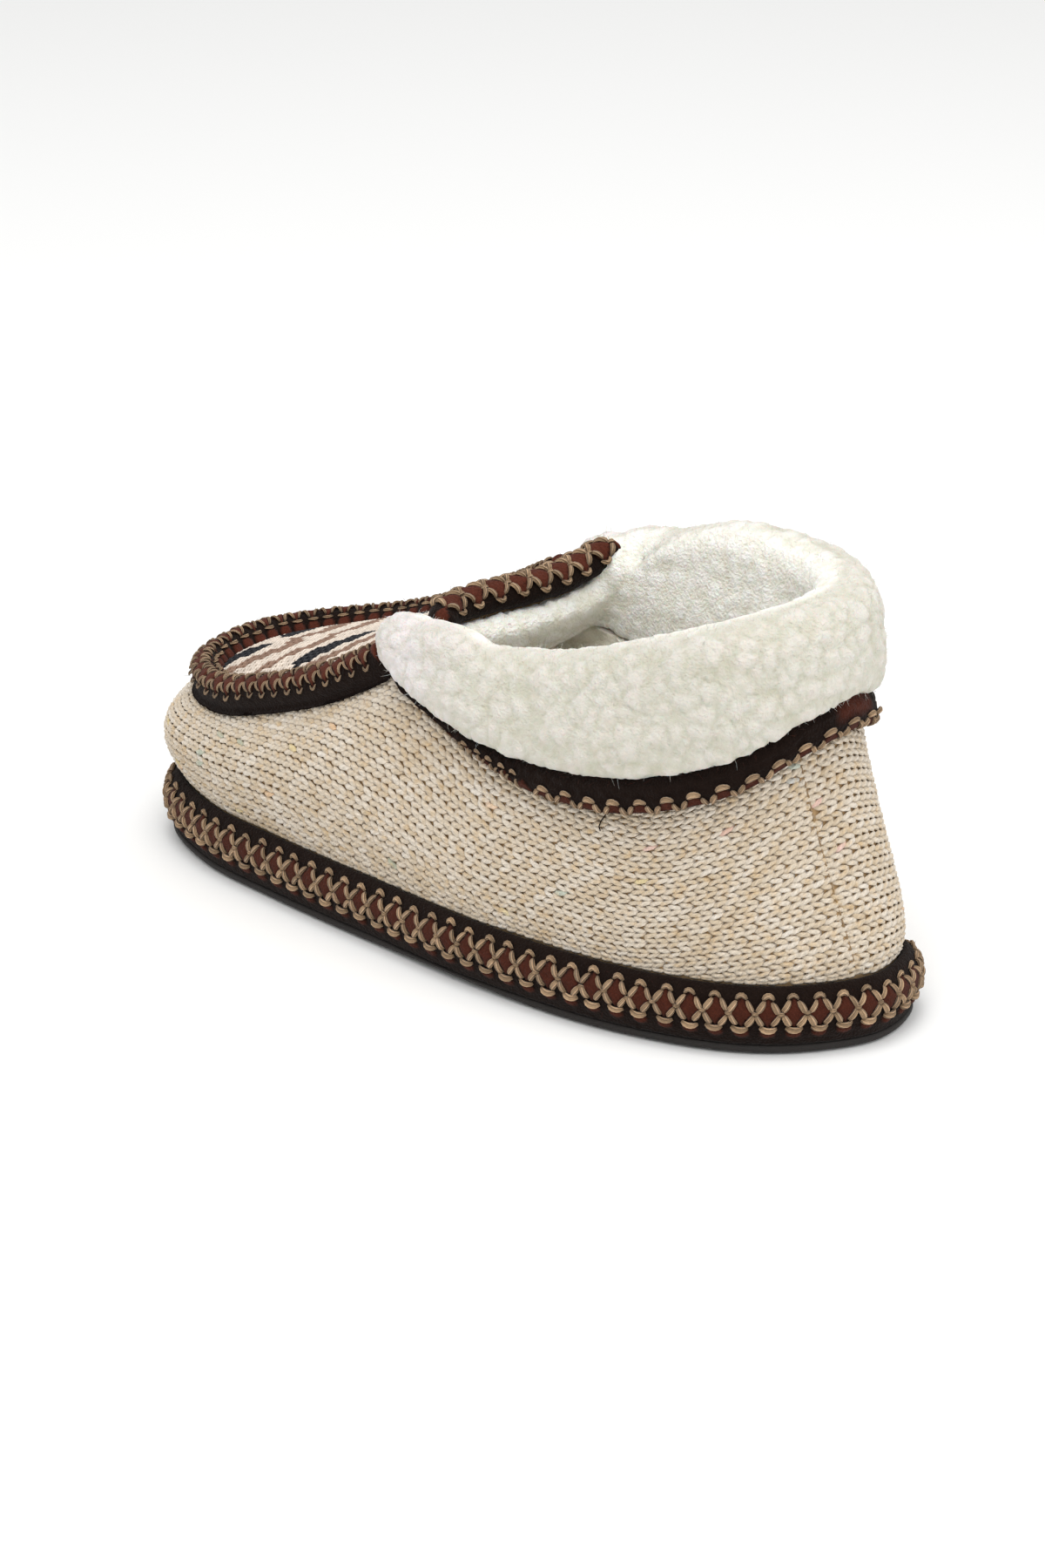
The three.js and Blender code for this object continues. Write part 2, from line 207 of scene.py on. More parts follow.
def dye(red, green, blue):
    """A shade as read off a screen, as the shader takes it."""
    share = np.array([red, green, blue]) / 255
    light = np.where(share < 0.04045, share / 12.92, ((share + 0.055) / 1.055) ** 2.4)
    return np.append(light, 1.0)


def fit(name, mesh, finish, slot, *nodes):
    """Makes a piece of a mesh, on the slipper's one body, in the place of its plain solids."""
    mesh.name = name
    mesh.materials.append(finish.material)
    piece = bpy.data.objects.new(name, mesh)
    bpy.context.scene.collection.objects.link(piece)
    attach(piece, "root")
    if nodes:
        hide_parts(*nodes)
    return piece


ARCH_BACK, ARCH_FRONT, ARCH_LIFT = 78, 158, 1.4
FLANGE_TOP = 2.9

# Section of the sole from the middle of its underside, round the rolled edge, to the middle of its core:
# share of the way to the other side, distance out from the outline, and height.
SOLE_SECTION = np.array([
    [0.5, -6.5, 0], [0.25, -6.5, 0], [0, -6.5, 0], [0, -4.9, 0.08], [0, -3.6, 0.45], [0, -2.6, 0.95],
    [0, -2.15, 1.7], [0, -2.15, 2.5], [0, -2.5, 2.9], [0, -9.6, 2.9], [0, -9.6, 12], [0.5, -9.6, 12],
])


def layer_shape(section, around, across):
    """Points of a layer of the sole, at shares of the way around it and along its section."""
    place = across * (len(section) - 1)
    share, out, height = (np.interp(place, np.arange(len(section)), column) for column in section.T)
    row = around * ROWS
    point = outline_point(row, out, height)
    other = outline_point(-row, out, height)
    return point + (other - point) * share[:, None]


def sole_shape(around, across):
    point = layer_shape(SOLE_SECTION, around, across)
    waist = np.clip((point[:, 0] - ARCH_BACK) / (ARCH_FRONT - ARCH_BACK), 0, 1)
    lift = ARCH_LIFT * np.sin(np.pi * waist) ** 2 * np.maximum(0, 1 - point[:, 2] / FLANGE_TOP)
    return point + lift[:, None] * UP


rubber = Finish("sole_rubber", {"Specular IOR Level": 0.35})
grain = rubber.speckle(size=0.0006, detail=4.0)
scuff = rubber.speckle(size=0.011, detail=5.0)
wear_and_hollow_shade = rubber.mix(scuff, dye(24, 21, 20), dye(44, 39, 36))
rubber.feed("Base Color", rubber.shade(wear_and_hollow_shade, grain * 0.7 + 0.65))
rubber.feed("Roughness", scuff * 0.3 + 0.55)
rubber.relief(grain, depth=0.0002)
fit("sole_plate", bent_grid(360, 44, sole_shape), rubber, "outsole", "outsole")

# Insole: the foot bed, a pad of foam covered with the same white fleece as the lining, laid on the
# sole's core inside the upper.
BED_EDGE, BED_IN = -9.7, -10.9
BED_SHOULDER, BED_TOP = 17, 18.5
BED_SECTION = np.array([
    [0, BED_EDGE, 12.3], [0, BED_EDGE, 14.5], [0, BED_EDGE, BED_SHOULDER], [0, BED_IN, 18.3],
    [0.06, BED_IN, BED_TOP], [0.3, BED_IN, BED_TOP], [0.5, BED_IN, BED_TOP],
])

# Width and depth of the fleece's curls, and the height of curl that lies level with the foot bed's top.
CURL = 5.4
CURL_DEEP = 1.4
BED_LEVEL = 0.8

# Seed of the bends of the curls, which otherwise differ from run to run.
noise.seed_set(11)


def curls(points):
    """Height of the fleece's curls over each point, about 0 in the hollows and about 1 on the tops."""
    heights = np.empty(len(points))
    for place, point in enumerate(points):
        spot = Vector(point / CURL)
        bent = spot + 0.4 * noise.noise_vector(spot * 1.3)
        (near, next_near, *_), _ = noise.voronoi(bent)
        edge = min(1, (next_near - near) / 0.7)
        dome = max(0, 1 - near**2)
        tuft = noise.noise(spot * 2.3)
        heights[place] = 0.45 * edge * (2 - edge) + 0.3 * dome + 0.25 * tuft + 0.12 * noise.noise(spot * 5)
    return heights


# Fleece white on its curls and painted shade in its hollows. The lighter pair is painted light for the inside
# of the slipper.
FLEECE_LIGHT, FLEECE_HOLLOW_SHADE = dye(217, 213, 203), dye(197, 194, 175)
INSIDE_PAINTED_LIGHT, INSIDE_HOLLOW_SHADE_LIT = dye(253, 251, 244), dye(234, 231, 214)


def fleece_dyes(heights, inside_light_share):
    """White on the curls with painted shade in the hollows between them, and painted light that makes the
    fleece lighter inside the slipper.
    """
    share = np.clip(heights * 1.6, 0, 1)[:, None]
    wear_and_hollow_shade = FLEECE_HOLLOW_SHADE + (FLEECE_LIGHT - FLEECE_HOLLOW_SHADE) * share
    painted_inside_light = INSIDE_HOLLOW_SHADE_LIT + (INSIDE_PAINTED_LIGHT - INSIDE_HOLLOW_SHADE_LIT) * share
    return wear_and_hollow_shade + (painted_inside_light - wear_and_hollow_shade) * np.reshape(inside_light_share, (-1, 1))


def bed_pile(around, across):
    """The foot bed with its curls raised."""
    point = layer_shape(BED_SECTION, around, across)
    top = np.clip((point[:, 2] - BED_SHOULDER) / (BED_TOP - BED_SHOULDER), 0, 1)
    point[:, 2] += top * (curls(point) - BED_LEVEL) * CURL_DEEP
    return point


# The foot bed takes the inside's painted light, with painted shade in the hollows of its curls.
def bed_dyes(around, across):
    return fleece_dyes(curls(layer_shape(BED_SECTION, around, across)), 1.0)


fleece = Finish("white_fleece", {
    "Roughness": 1.0, "Specular IOR Level": 0.1, "Sheen Weight": 0.2, "Sheen Roughness": 0.6,
    "Subsurface Weight": 0.2, "Subsurface Scale": 0.003,
})
lint = fleece.speckle(size=0.0009, detail=5.0)
fleece.feed("Base Color", fleece.shade(fleece.carried(), lint * 0.12 + 0.94))
fleece.relief(lint, depth=0.0009)
foot_bed = fit("foot_bed", bent_grid(200, 30, bed_pile, bed_dyes), fleece, "fleece", "insole")

# Upper: one knitted tube shaped on the last, tucked in behind the tape and open at the collar. Its
# backing, a dark tan sheet of painted shade that shows between the stitches, carries rows of chunky marled
# knit that sag along the sides, joined by a seam at the heel.
TUCK_INSET = 6.3
TUCK_BOTTOM = 3.2
WALL_START = 20
WALL_THICK = 3

# Edge of the collar and the throat, one point a section.
RIM = np.array([
    [24.5, 0, 117.5], [28, 14, 116], [39, 25.5, 112.5], [63, 31, 103.5], [92, 33.5, 94], [120, 34, 91],
    [141, 29, 90], [146, 20, 91.5], [143, 8, 93], [138, -4, 94], [134, -17, 95.5], [130, -29, 99],
    [120, -36, 104], [102, -36.5, 111], [80, -34, 116.5], [60, -31, 118], [40, -24.5, 118.5],
    [28.5, -14, 118],
])

# Height of the cuff's low edge at each section.
HEM = np.array([86, 82, 73, 63.5, 61, 68, 78, 80, 80, 80, 80, 80, 82, 80, 78, 78, 80, 83])

# Shape of the wall above the tape from the heel to the toe, the same on both sides: distance out from the
# outline and height of its belly, the same of its shoulder, and reach and drop of the guide below the rim.
WALLS = np.array([
    [-1.5, 33, -18, 56, 2, 26], [-2, 33, -16, 56, 2, 26], [-2, 35, -11.5, 58, 3, 25],
    [-2, 37, -8, 58, 4, 22], [-1.5, 38, -6, 57, 4, 18], [-1, 38, -3, 56, 14, 18],
    [1, 36, 0, 51, 34, 27], [4, 36, 1, 53, 50, 33], [7, 36, 1, 56, 59, 36], [8, 36, 0, 57, 62, 37],
])
BOTH_SIDES = [min(row, ROWS - row) for row in range(ROWS)]

rim_at = closed_line(RIM)
hem_at = closed_line(np.c_[OUTLINE, HEM])
belly_at = closed_line(WALLS[BOTH_SIDES, 0:2])
shoulder_at = closed_line(WALLS[BOTH_SIDES, 2:4])
guide_at = closed_line(WALLS[BOTH_SIDES, 4:6])


def wall(row, rise):
    """Outer face of the upper: rise runs from 0 at the tape to 1 at the rim."""
    row, rise = np.broadcast_arrays(np.asarray(row, float), np.asarray(rise, float))
    foot = outline_point(row, -TUCK_INSET, WALL_START)
    belly = outline_point(row, *np.moveaxis(belly_at(row), -1, 0))
    shoulder = outline_point(row, *np.moveaxis(shoulder_at(row), -1, 0))
    rim = rim_at(row)
    outwards = unit((shoulder - rim) * np.array([1, 1, 0]))
    reach, drop = np.moveaxis(guide_at(row), -1, 0)
    guide = rim + outwards * reach[..., None] - drop[..., None] * UP
    up = rise[..., None]
    down = 1 - up
    low = foot * down**4 + 4 * belly * down**3 * up + 6 * shoulder * down**2 * up**2
    return low + 4 * guide * down * up**3 + rim * up**4


def up_along(row, rise):
    return unit(wall(row, rise + NUDGE) - wall(row, rise - NUDGE))


def out_of(row, rise):
    return unit(np.cross(up_along(row, rise), wall(row + NUDGE, rise) - wall(row - NUDGE, rise)))


def skin(row, rise, out):
    """Point some millimetres out from the upper's face."""
    return wall(row, rise) + np.asarray(out, float)[..., None] * out_of(row, rise)


def rise_for(row, rise, length):
    """Change of rise that moves some millimetres up the wall."""
    gap = np.linalg.norm(wall(row, rise + NUDGE) - wall(row, rise - NUDGE), axis=-1)
    return 2 * NUDGE * length / gap


HALVINGS = 24


def rise_where(row, test):
    """Rise at which a test of the wall's face first holds, or 1 where it never does."""
    low = np.zeros(np.shape(row))
    high = np.ones(np.shape(row))
    for _ in range(HALVINGS):
        middle = (low + high) / 2
        holds = test(wall(row, middle))
        high = np.where(holds, middle, high)
        low = np.where(holds, low, middle)
    return np.where(test(wall(row, 1)), high, 1)


PLUG_FRONT, PLUG_WIDEST, PLUG_BACK, THROAT_BACK = 244, 196, 146, 124
PLUG_HALF, PLUG_HALF_BACK, PLUG_MIDDLE, PLUG_POWER = 36.5, 32, -1, 2.4


def in_plug(point):
    """True inside the plug's outline seen from above."""
    side = np.abs(point[..., 1] - PLUG_MIDDLE)
    forward = np.maximum(0, point[..., 0] - PLUG_WIDEST) / (PLUG_FRONT - PLUG_WIDEST)
    rounded = forward**PLUG_POWER + (side / PLUG_HALF) ** PLUG_POWER < 1
    share = np.clip((PLUG_WIDEST - point[..., 0]) / (PLUG_WIDEST - PLUG_BACK), 0, 1)
    straight = (point[..., 0] > THROAT_BACK) & (side < PLUG_HALF + (PLUG_HALF_BACK - PLUG_HALF) * share**2)
    return np.where(point[..., 0] > PLUG_WIDEST, rounded, straight)


# The wall unrolled: for each row, the rise at each distance up from the tape.
CHART_STEP = 0.5
CHART_ROWS = np.linspace(0, ROWS, 541)
CHART_RISES = np.linspace(0, 1, 161)
CHART_TALL = np.arange(0, 140, CHART_STEP)
chart_walls = wall(CHART_ROWS[:, None], CHART_RISES[None])
chart_steps = np.linalg.norm(np.diff(chart_walls, axis=1), axis=-1)
chart_heights = np.c_[np.zeros(len(CHART_ROWS)), np.cumsum(chart_steps, axis=1)]
chart_rise_at = np.array([np.interp(CHART_TALL, tall, CHART_RISES) for tall in chart_heights])
chart_seam = rise_where(CHART_ROWS, in_plug)
chart_hem = rise_where(CHART_ROWS, lambda point: point[..., 2] > hem_at(CHART_ROWS)[..., 2])


def seam_rise(row):
    """Rise of the seam between the upper and the plug, or of the rim where there is no plug."""
    return np.interp(np.asarray(row) % ROWS, CHART_ROWS, chart_seam)


def rise_at(row, tall):
    """Rise at a distance in millimetres up the wall."""
    across = (np.asarray(row) % ROWS) / ROWS * (len(CHART_ROWS) - 1)
    up = np.clip(tall, 0, CHART_TALL[-2]) / CHART_STEP
    left = np.minimum(across.astype(int), len(CHART_ROWS) - 2)
    below = up.astype(int)
    side = across - left
    above = up - below
    near = chart_rise_at[left, below] * (1 - above) + chart_rise_at[left, below + 1] * above
    far = chart_rise_at[left + 1, below] * (1 - above) + chart_rise_at[left + 1, below + 1] * above
    return near * (1 - side) + far * side


def folded(across, up, fold, down):
    """Share of the way up a section that runs up a face and down its back, and where it is the face."""
    face = across < fold
    return np.clip(np.where(face, across / up, (1 - across) / down), 0, 1), face


BACKING_IN = 0.6
BACKING_FOLD = (0.55, 0.575, 0.4)
PLUG_GAP = 0.5


def backing_shape(around, across):
    row = around * ROWS
    top = seam_rise(row)
    top = np.where(top < 1, top - rise_for(row, top, PLUG_GAP), 1)
    share, face = folded(across, *BACKING_FOLD)
    deep = np.where(face, BACKING_IN, WALL_THICK)
    foot = outline_point(row, -TUCK_INSET - deep, TUCK_BOTTOM)
    low = (across < TINY) | (across > 1 - TINY)
    return np.where(low[:, None], foot, skin(row, top * share, -deep))


def closed_section(bend):
    """Brings the end of each section back to its start, so that the grid closes there."""
    def closed(around, across):
        return bend(around, np.where(across > 1 - TINY, 0.0, across))
    return closed


# Painted shade: the sheet's dark tan, mottled at random, stands for the shade in the gaps between the
# stitches.
gap_shade = Finish("knit_gap_shade", {"Roughness": 1.0, "Specular IOR Level": 0.1})
felted = gap_shade.speckle(size=0.002, detail=4.0)
gap_shade.feed("Base Color", gap_shade.mix(felted, dye(148, 119, 85), dye(180, 152, 115)))
gap_shade.relief(felted, depth=0.0004)
fit("upper_shade_sheet", bent_grid(300, 60, closed_section(backing_shape)), gap_shade, "knit", "upper")


class Strands:
    """Many short lengths of yarn or fibre, joined in one mesh."""

    def __init__(self):
        self.points, self.quads, self.fans, self.dyes = [], [], [], []
        self.quad_twists, self.fan_twists = [], []
        self.used = 0

    def add(self, paths, outs, radius, flat, dyes, sides=5):
        """Lays a tube along each path: paths and outs hold points and outward directions."""
        count, rings = paths.shape[:2]
        along = unit(np.gradient(paths, axis=1))
        aside = unit(np.cross(outs, along))
        up = np.cross(along, aside)
        turn = np.arange(sides) / sides * 2 * np.pi
        reach = np.broadcast_to(radius, (count, rings))[..., None, None] * MM
        wide = np.cos(turn)[:, None] * aside[:, :, None]
        high = flat * np.sin(turn)[:, None] * up[:, :, None]
        tube = paths[:, :, None] + reach * (wide + high)
        tips = paths[:, [0, -1]]
        points = np.concatenate([tube.reshape(count, -1, 3), tips], 1)
        step = np.linalg.norm(np.diff(paths, axis=1), axis=-1).sum(1).mean() / MM / (rings - 1)
        ring, side = (grid.ravel() for grid in np.meshgrid(range(rings - 1), range(sides), indexing="ij"))
        corners = [(ring, side), (ring, side + 1), (ring + 1, side + 1), (ring + 1, side)]
        quads = np.stack([rung * sides + turned % sides for rung, turned in corners], -1)
        twists = np.stack([np.stack([rung * step, turned / sides], -1) for rung, turned in corners], 1)
        edge = np.arange(sides)
        after = (edge + 1) % sides
        last = (rings - 1) * sides
        first_fan = np.stack([np.full(sides, last + sides), after, edge], -1)
        last_fan = np.stack([np.full(sides, last + sides + 1), last + edge, last + after], -1)
        fans = np.concatenate([first_fan, last_fan])
        start = self.used + np.arange(count)[:, None, None] * points.shape[1]
        self.points.append(points.reshape(-1, 3))
        self.quads.append((quads[None] + start).reshape(-1, 4))
        self.fans.append((fans[None] + start).reshape(-1, 3))
        self.quad_twists.append(np.broadcast_to(twists, (count, *twists.shape)).reshape(-1, 2))
        self.fan_twists.append(np.zeros((count * len(fans) * 3, 2)))
        self.dyes.append(np.repeat(dyes, points.shape[1], axis=0))
        self.used += count * points.shape[1]

    def mesh(self):
        points = np.concatenate(self.points)
        quads = np.concatenate(self.quads)
        fans = np.concatenate(self.fans)
        corners = np.concatenate([quads.ravel(), fans.ravel()])
        starts = np.concatenate([np.arange(len(quads)) * 4, len(quads) * 4 + np.arange(len(fans)) * 3])
        mesh = bpy.data.meshes.new("strands")
        mesh.vertices.add(len(points))
        mesh.vertices.foreach_set("co", points.ravel().astype(np.float32))
        mesh.loops.add(len(corners))
        mesh.loops.foreach_set("vertex_index", corners.astype(np.int32))
        mesh.polygons.add(len(starts))
        mesh.polygons.foreach_set("loop_start", starts.astype(np.int32))
        mesh.update(calc_edges=True)
        twist = mesh.uv_layers.new(name="twist")
        twists = np.concatenate([*self.quad_twists, *self.fan_twists])
        twist.data.foreach_set("uv", twists.ravel().astype(np.float32))
        colour = mesh.attributes.new("dye", "FLOAT_COLOR", "POINT")
        colour.data.foreach_set("color", np.concatenate(self.dyes).ravel().astype(np.float32))
        return mesh


# Sag of the rows of knit below where they leave the heel, and the width of a row, from heel to toe.
KNIT = np.array([
    [0, 3.7], [-2.4, 3.55], [-6.5, 3.3], [-13.5, 3.2], [-15.5, 3.8],
    [-7, 4.35], [1.5, 4.15], [2.5, 3.9], [1.5, 3.8], [1, 3.8],
])
KNIT_ROWS = 30
KNIT_LOWEST = -2.2
STITCH = 3.2
STITCH_SHAKE = 0.25
knit_at = closed_line(KNIT[BOTH_SIDES])
chance = np.random.default_rng(11)

# The heel seam: the section where it starts, its lean as it climbs, the dip of the knit into it and the
# dip's half width, how far past it the first and last stitches of a row begin, the section where a row's
# height at the heel is read, and how far beyond the seam a row is measured.
HEEL_LOW, HEEL_LEAN = 0.35, 0.78
HEEL_DIP, HEEL_HALF = 0.8, 0.045
HEEL_MARGINS = (1.2, 2.4)
HEEL_SIGHT = 0.6
HEEL_OVERRUN = 0.3

# A stitch is a V of two legs of yarn. They start apart and end close together, in shares of the row's
# width, less far apart towards the toe. They taper, and their ends dip under the next stitches.
LEG_LONG = 4.7
LEG_STEPS = np.linspace(0, 1, 5)
LEG_WIDE_ROWS = [0, 4, 6.3, 9]
LEG_WIDE = [0.45, 0.44, 0.405, 0.4]
LEG_CLOSE = 0.05
LEG_SHAKE = 0.012
LEG_RADIUS = 0.2
LEG_TAPER = np.array([0.5, 0.98, 1.12, 0.98, 0.45])
LEG_LIFT = np.array([-0.75, -0.1, 0, -0.1, -0.8])
LEG_THICK = 0.8


def knit_place(row, number):
    """Rise of a place on the knit, by its section round the shoe and the number of its row of knit."""
    sag, width = np.moveaxis(knit_at(row), -1, 0)
    return rise_at(row, sag + number * width)


def run_along(line):
    """Length along a line from its start to each of its points."""
    return np.r_[0, np.cumsum(np.linalg.norm(np.diff(line, axis=0), axis=-1))]


def tall_at(rises):
    """Distance up the wall to a rise, in each row of the chart."""
    return np.array([np.interp(rise, CHART_RISES, tall) for rise, tall in zip(rises, chart_heights)])


# The knit stops a little past the plug's seam, and behind the forefoot a little way under the cuff.
FOREFOOT = (5.2, 12.5)
PAST_SEAM, UNDER_CUFF, FOREFOOT_TALL = 2, 10, 90
forefoot = (CHART_ROWS > FOREFOOT[0]) & (CHART_ROWS < FOREFOOT[1])
cuff_limit = tall_at(np.minimum(chart_seam, chart_hem)) + UNDER_CUFF
knit_top = np.minimum(tall_at(chart_seam) + PAST_SEAM, np.where(forefoot, FOREFOOT_TALL, cuff_limit))

leg_rows, leg_numbers, leg_tags = [], [], []
for number in range(-1, KNIT_ROWS):
    middle = number + 0.5
    seam = HEEL_LOW + HEEL_LEAN * knit_place(np.array(HEEL_SIGHT), np.array(middle))
    row = np.linspace(seam - HEEL_OVERRUN, ROWS + seam + HEEL_OVERRUN, 1000)
    sag, width = np.moveaxis(knit_at(row), -1, 0)
    length = run_along(wall(row, knit_place(row, middle)))
    length -= np.interp(ROWS / 2, row, length)
    first, last = np.interp([seam, ROWS + seam], row, length) + HEEL_MARGINS
    course = np.arange(np.ceil(first / STITCH), np.floor(last / STITCH) + 1)
    start = course * STITCH + chance.uniform(-STITCH_SHAKE, STITCH_SHAKE, len(course))
    tall = np.interp(start, length, sag + middle * width)
    allowed = np.interp(np.interp(start, length, row) % ROWS, CHART_ROWS, knit_top)
    keep = (tall > KNIT_LOWEST) & (tall < allowed)
    course, start = course[keep], start[keep]
    for side in (-1, 1):
        rows = np.interp(start[:, None] - LEG_STEPS * LEG_LONG, length, row)
        from_heel = ROWS / 2 - np.abs(rows % ROWS - ROWS / 2)
        wide = np.interp(from_heel, LEG_WIDE_ROWS, LEG_WIDE)
        spread = wide + (LEG_CLOSE - wide) * LEG_STEPS
        spread = spread + chance.normal(0, LEG_SHAKE, (len(course), 1))
        leg_rows.append(rows)
        leg_numbers.append(middle + side * spread)
        leg_tags.append(np.stack([course, np.full(len(course), number), np.full(len(course), side)], -1))
leg_rows = np.concatenate(leg_rows)
leg_tags = np.concatenate(leg_tags)
leg_rises = knit_place(leg_rows, np.concatenate(leg_numbers))
leg_lift = LEG_LIFT + chance.normal(0, 0.05, (len(leg_rows), 1))
from_seam = (leg_rows - HEEL_LOW - HEEL_LEAN * leg_rises + ROWS / 2) % ROWS - ROWS / 2
leg_lift = leg_lift - HEEL_DIP * np.exp(-(from_seam / HEEL_HALF) ** 2)
leg_paths = placed(skin(leg_rows, leg_rises, leg_lift))
leg_outs = out_of(leg_rows, leg_rises)
leg_radius = LEG_RADIUS * knit_at(leg_rows)[..., 1] * LEG_TAPER
leg_radius = leg_radius * chance.uniform(0.92, 1.08, (len(leg_rows), 1))

# Marled yarn: each course takes its shade from the spun yarn that runs across the rows, and a few
# stitches are tinted by a coloured fleck.
YARN_TAN, YARN_MID, YARN_LIGHT = dye(184, 156, 118), dye(205, 188, 163), dye(225, 216, 203)
YARN_SHARE = 0.68
FLECKS = [dye(226, 158, 150), dye(228, 206, 122), dye(232, 174, 110), dye(120, 165, 150), dye(178, 198, 210)]
FLECK_SHARE, FLECK_TINT = 0.008, 0.4


def marl(tags):
    shades = np.empty((len(tags), 4))
    for place, (course, number, side) in enumerate(tags):
        spun = noise.noise((course * 0.83, number * 0.31, 4.7 + 0.3 * side))
        slub = noise.noise((course * 0.21, number * 0.42, 9.1))
        share = np.clip(YARN_SHARE + 0.3 * spun + 0.14 * slub + chance.normal(0, 0.07), 0, 1)
        pair = (YARN_TAN, YARN_MID) if share < 0.5 else (YARN_MID, YARN_LIGHT)
        shades[place] = pair[0] + (pair[1] - pair[0]) * (share * 2 % 1 if share < 1 else 1)
    return shades


leg_dyes = marl(leg_tags)
for place in np.flatnonzero(chance.random(len(leg_dyes)) < FLECK_SHARE):
    fleck = FLECKS[chance.integers(len(FLECKS))]
    leg_dyes[place] = leg_dyes[place] * (1 - FLECK_TINT) + fleck * FLECK_TINT


def yarn_finish(name, twist_long, soft, groove_depth_and_shade, marled, plies=2.0):
    """Plied yarn in the shade that each strand carries, with its twist, slubs and loose fibre, and painted
    shade in the grooves between its plies.
    """
    made = Finish(name, {"Roughness": 0.95, "Sheen Weight": soft, "Sheen Roughness": 0.5,
                         "Specular IOR Level": 0.15})
    turns = made.node("ShaderNodeUVMap", {"uv_map": "twist"}, {})
    along = made.node("ShaderNodeSeparateXYZ", {}, {0: turns}, 0)
    around = made.node("ShaderNodeSeparateXYZ", {}, {0: turns}, 1)
    turn = (along * (1 / twist_long) + around * plies - 0.25) * (2 * np.pi)
    ply = turn.maths("SINE", turn)
    fibre = made.speckle(size=0.0005, detail=3.0)
    slub = made.speckle(size=0.0028, detail=2.0)
    share = made.node("ShaderNodeClamp", {}, {0: (slub - 0.5) * 5.0})
    spun = made.mix(share * marled, made.carried(), dye(204, 168, 110))
    # Painted shade: the colour darkens in the grooves between the plies, which the relief also cuts in.
    made.feed("Base Color", made.shade(spun, ply * groove_depth_and_shade + fibre * 0.5 + 0.76 - groove_depth_and_shade * 0.5))
    made.relief(ply * (groove_depth_and_shade * 6.0) + fibre * 0.8, depth=0.0003)
    return made


# The seam up the heel: a line of short tan stitches in the dip where the rows of knit meet.
HEEL_RISES = np.linspace(0.02, 0.72, 120)
HEEL_STITCH = 3.4
HEEL_YARN = 0.28
HEEL_LIFT = np.array([-0.8, -0.35, -0.3, -0.35, -0.8])
HEEL_DYE = dye(150, 124, 92)
heel_long = run_along(wall(HEEL_LOW + HEEL_LEAN * HEEL_RISES, HEEL_RISES))
heel_starts = np.arange(0, heel_long[-1] - HEEL_STITCH, HEEL_STITCH)
heel_spots = np.interp(heel_starts[:, None] + LEG_STEPS * HEEL_STITCH, heel_long, HEEL_RISES)
heel_rows = HEEL_LOW + HEEL_LEAN * heel_spots
heel_paths = placed(skin(heel_rows, heel_spots, HEEL_LIFT))
heel_dyes = np.tile(HEEL_DYE, (len(heel_starts), 1))

knit_yarn = yarn_finish("marled_yarn", twist_long=2.2, soft=0.35, groove_depth_and_shade=0.06, marled=0.4)
outer_legs = leg_rows[:, 2] < ROWS / 2
for name, half in (("knit_outer_side", outer_legs), ("knit_inner_side", ~outer_legs)):
    knit = Strands()
    knit.add(leg_paths[half], leg_outs[half], leg_radius[half], LEG_THICK, leg_dyes[half])
    if name == "knit_outer_side":
        knit.add(heel_paths, out_of(heel_rows, heel_spots), HEEL_YARN, 1.0, heel_dyes)
    fit(name, knit.mesh(), knit_yarn, "knit")

# Sole band: a knitted tape glued round the sole's edge, dark felted wool with a row of tan crosses,
# a bar at each end of a cross and a red-brown diamond between two crosses.
CROSS = 7.2
BAND_LOW, BAND_MIDDLE, BAND_TOP = 3.2, 12.5, 19.3
BAND_LEAN_LOW, BAND_LEAN_TOP = 1.9, 3
BAND_BACK_IN = 6
BAND_FELT_IN = 0.75
BAND_PUFF = 0.75
PATTERN_MIDDLE = 13.6
TAPE_BLACK, TAPE_BROWN, TAPE_TAN = dye(26, 17, 13), dye(68, 33, 23), dye(184, 153, 120)


class Run:
    """The line that a tape follows: the sections it passes, its length and the pitch of its crosses."""

    def __init__(self, rows, line, cross):
        self.rows = rows
        self.lengths = run_along(line)
        self.total = self.lengths[-1]
        self.count = round(self.total / cross)
        self.pitch = self.total / self.count

    def row(self, along):
        return np.interp(along, self.lengths, self.rows)


outline_rows = np.linspace(0, ROWS, 2001)
band_run = Run(outline_rows, outline_at(outline_rows), CROSS)


def band_out(height):
    """How far the tape stands out from the outline at a height."""
    above = -BAND_LEAN_TOP * ((height - BAND_MIDDLE) / (BAND_TOP - BAND_MIDDLE)) ** 2
    below = -BAND_LEAN_LOW * ((height - BAND_MIDDLE) / (BAND_MIDDLE - BAND_LOW)) ** 2
    return np.where(height > BAND_MIDDLE, above, below)


def band_place(along, across, lift):
    """A place on the tape: millimetres along it, across it from the crosses, and out of it."""
    row = band_run.row(along % band_run.total)
    height = PATTERN_MIDDLE + across
    slope = band_out(height + 0.1) - band_out(height - 0.1)
    tilt = np.arctan2(slope, 0.2)
    return outline_point(row, band_out(height) + lift * np.cos(tilt), height - lift * np.sin(tilt))


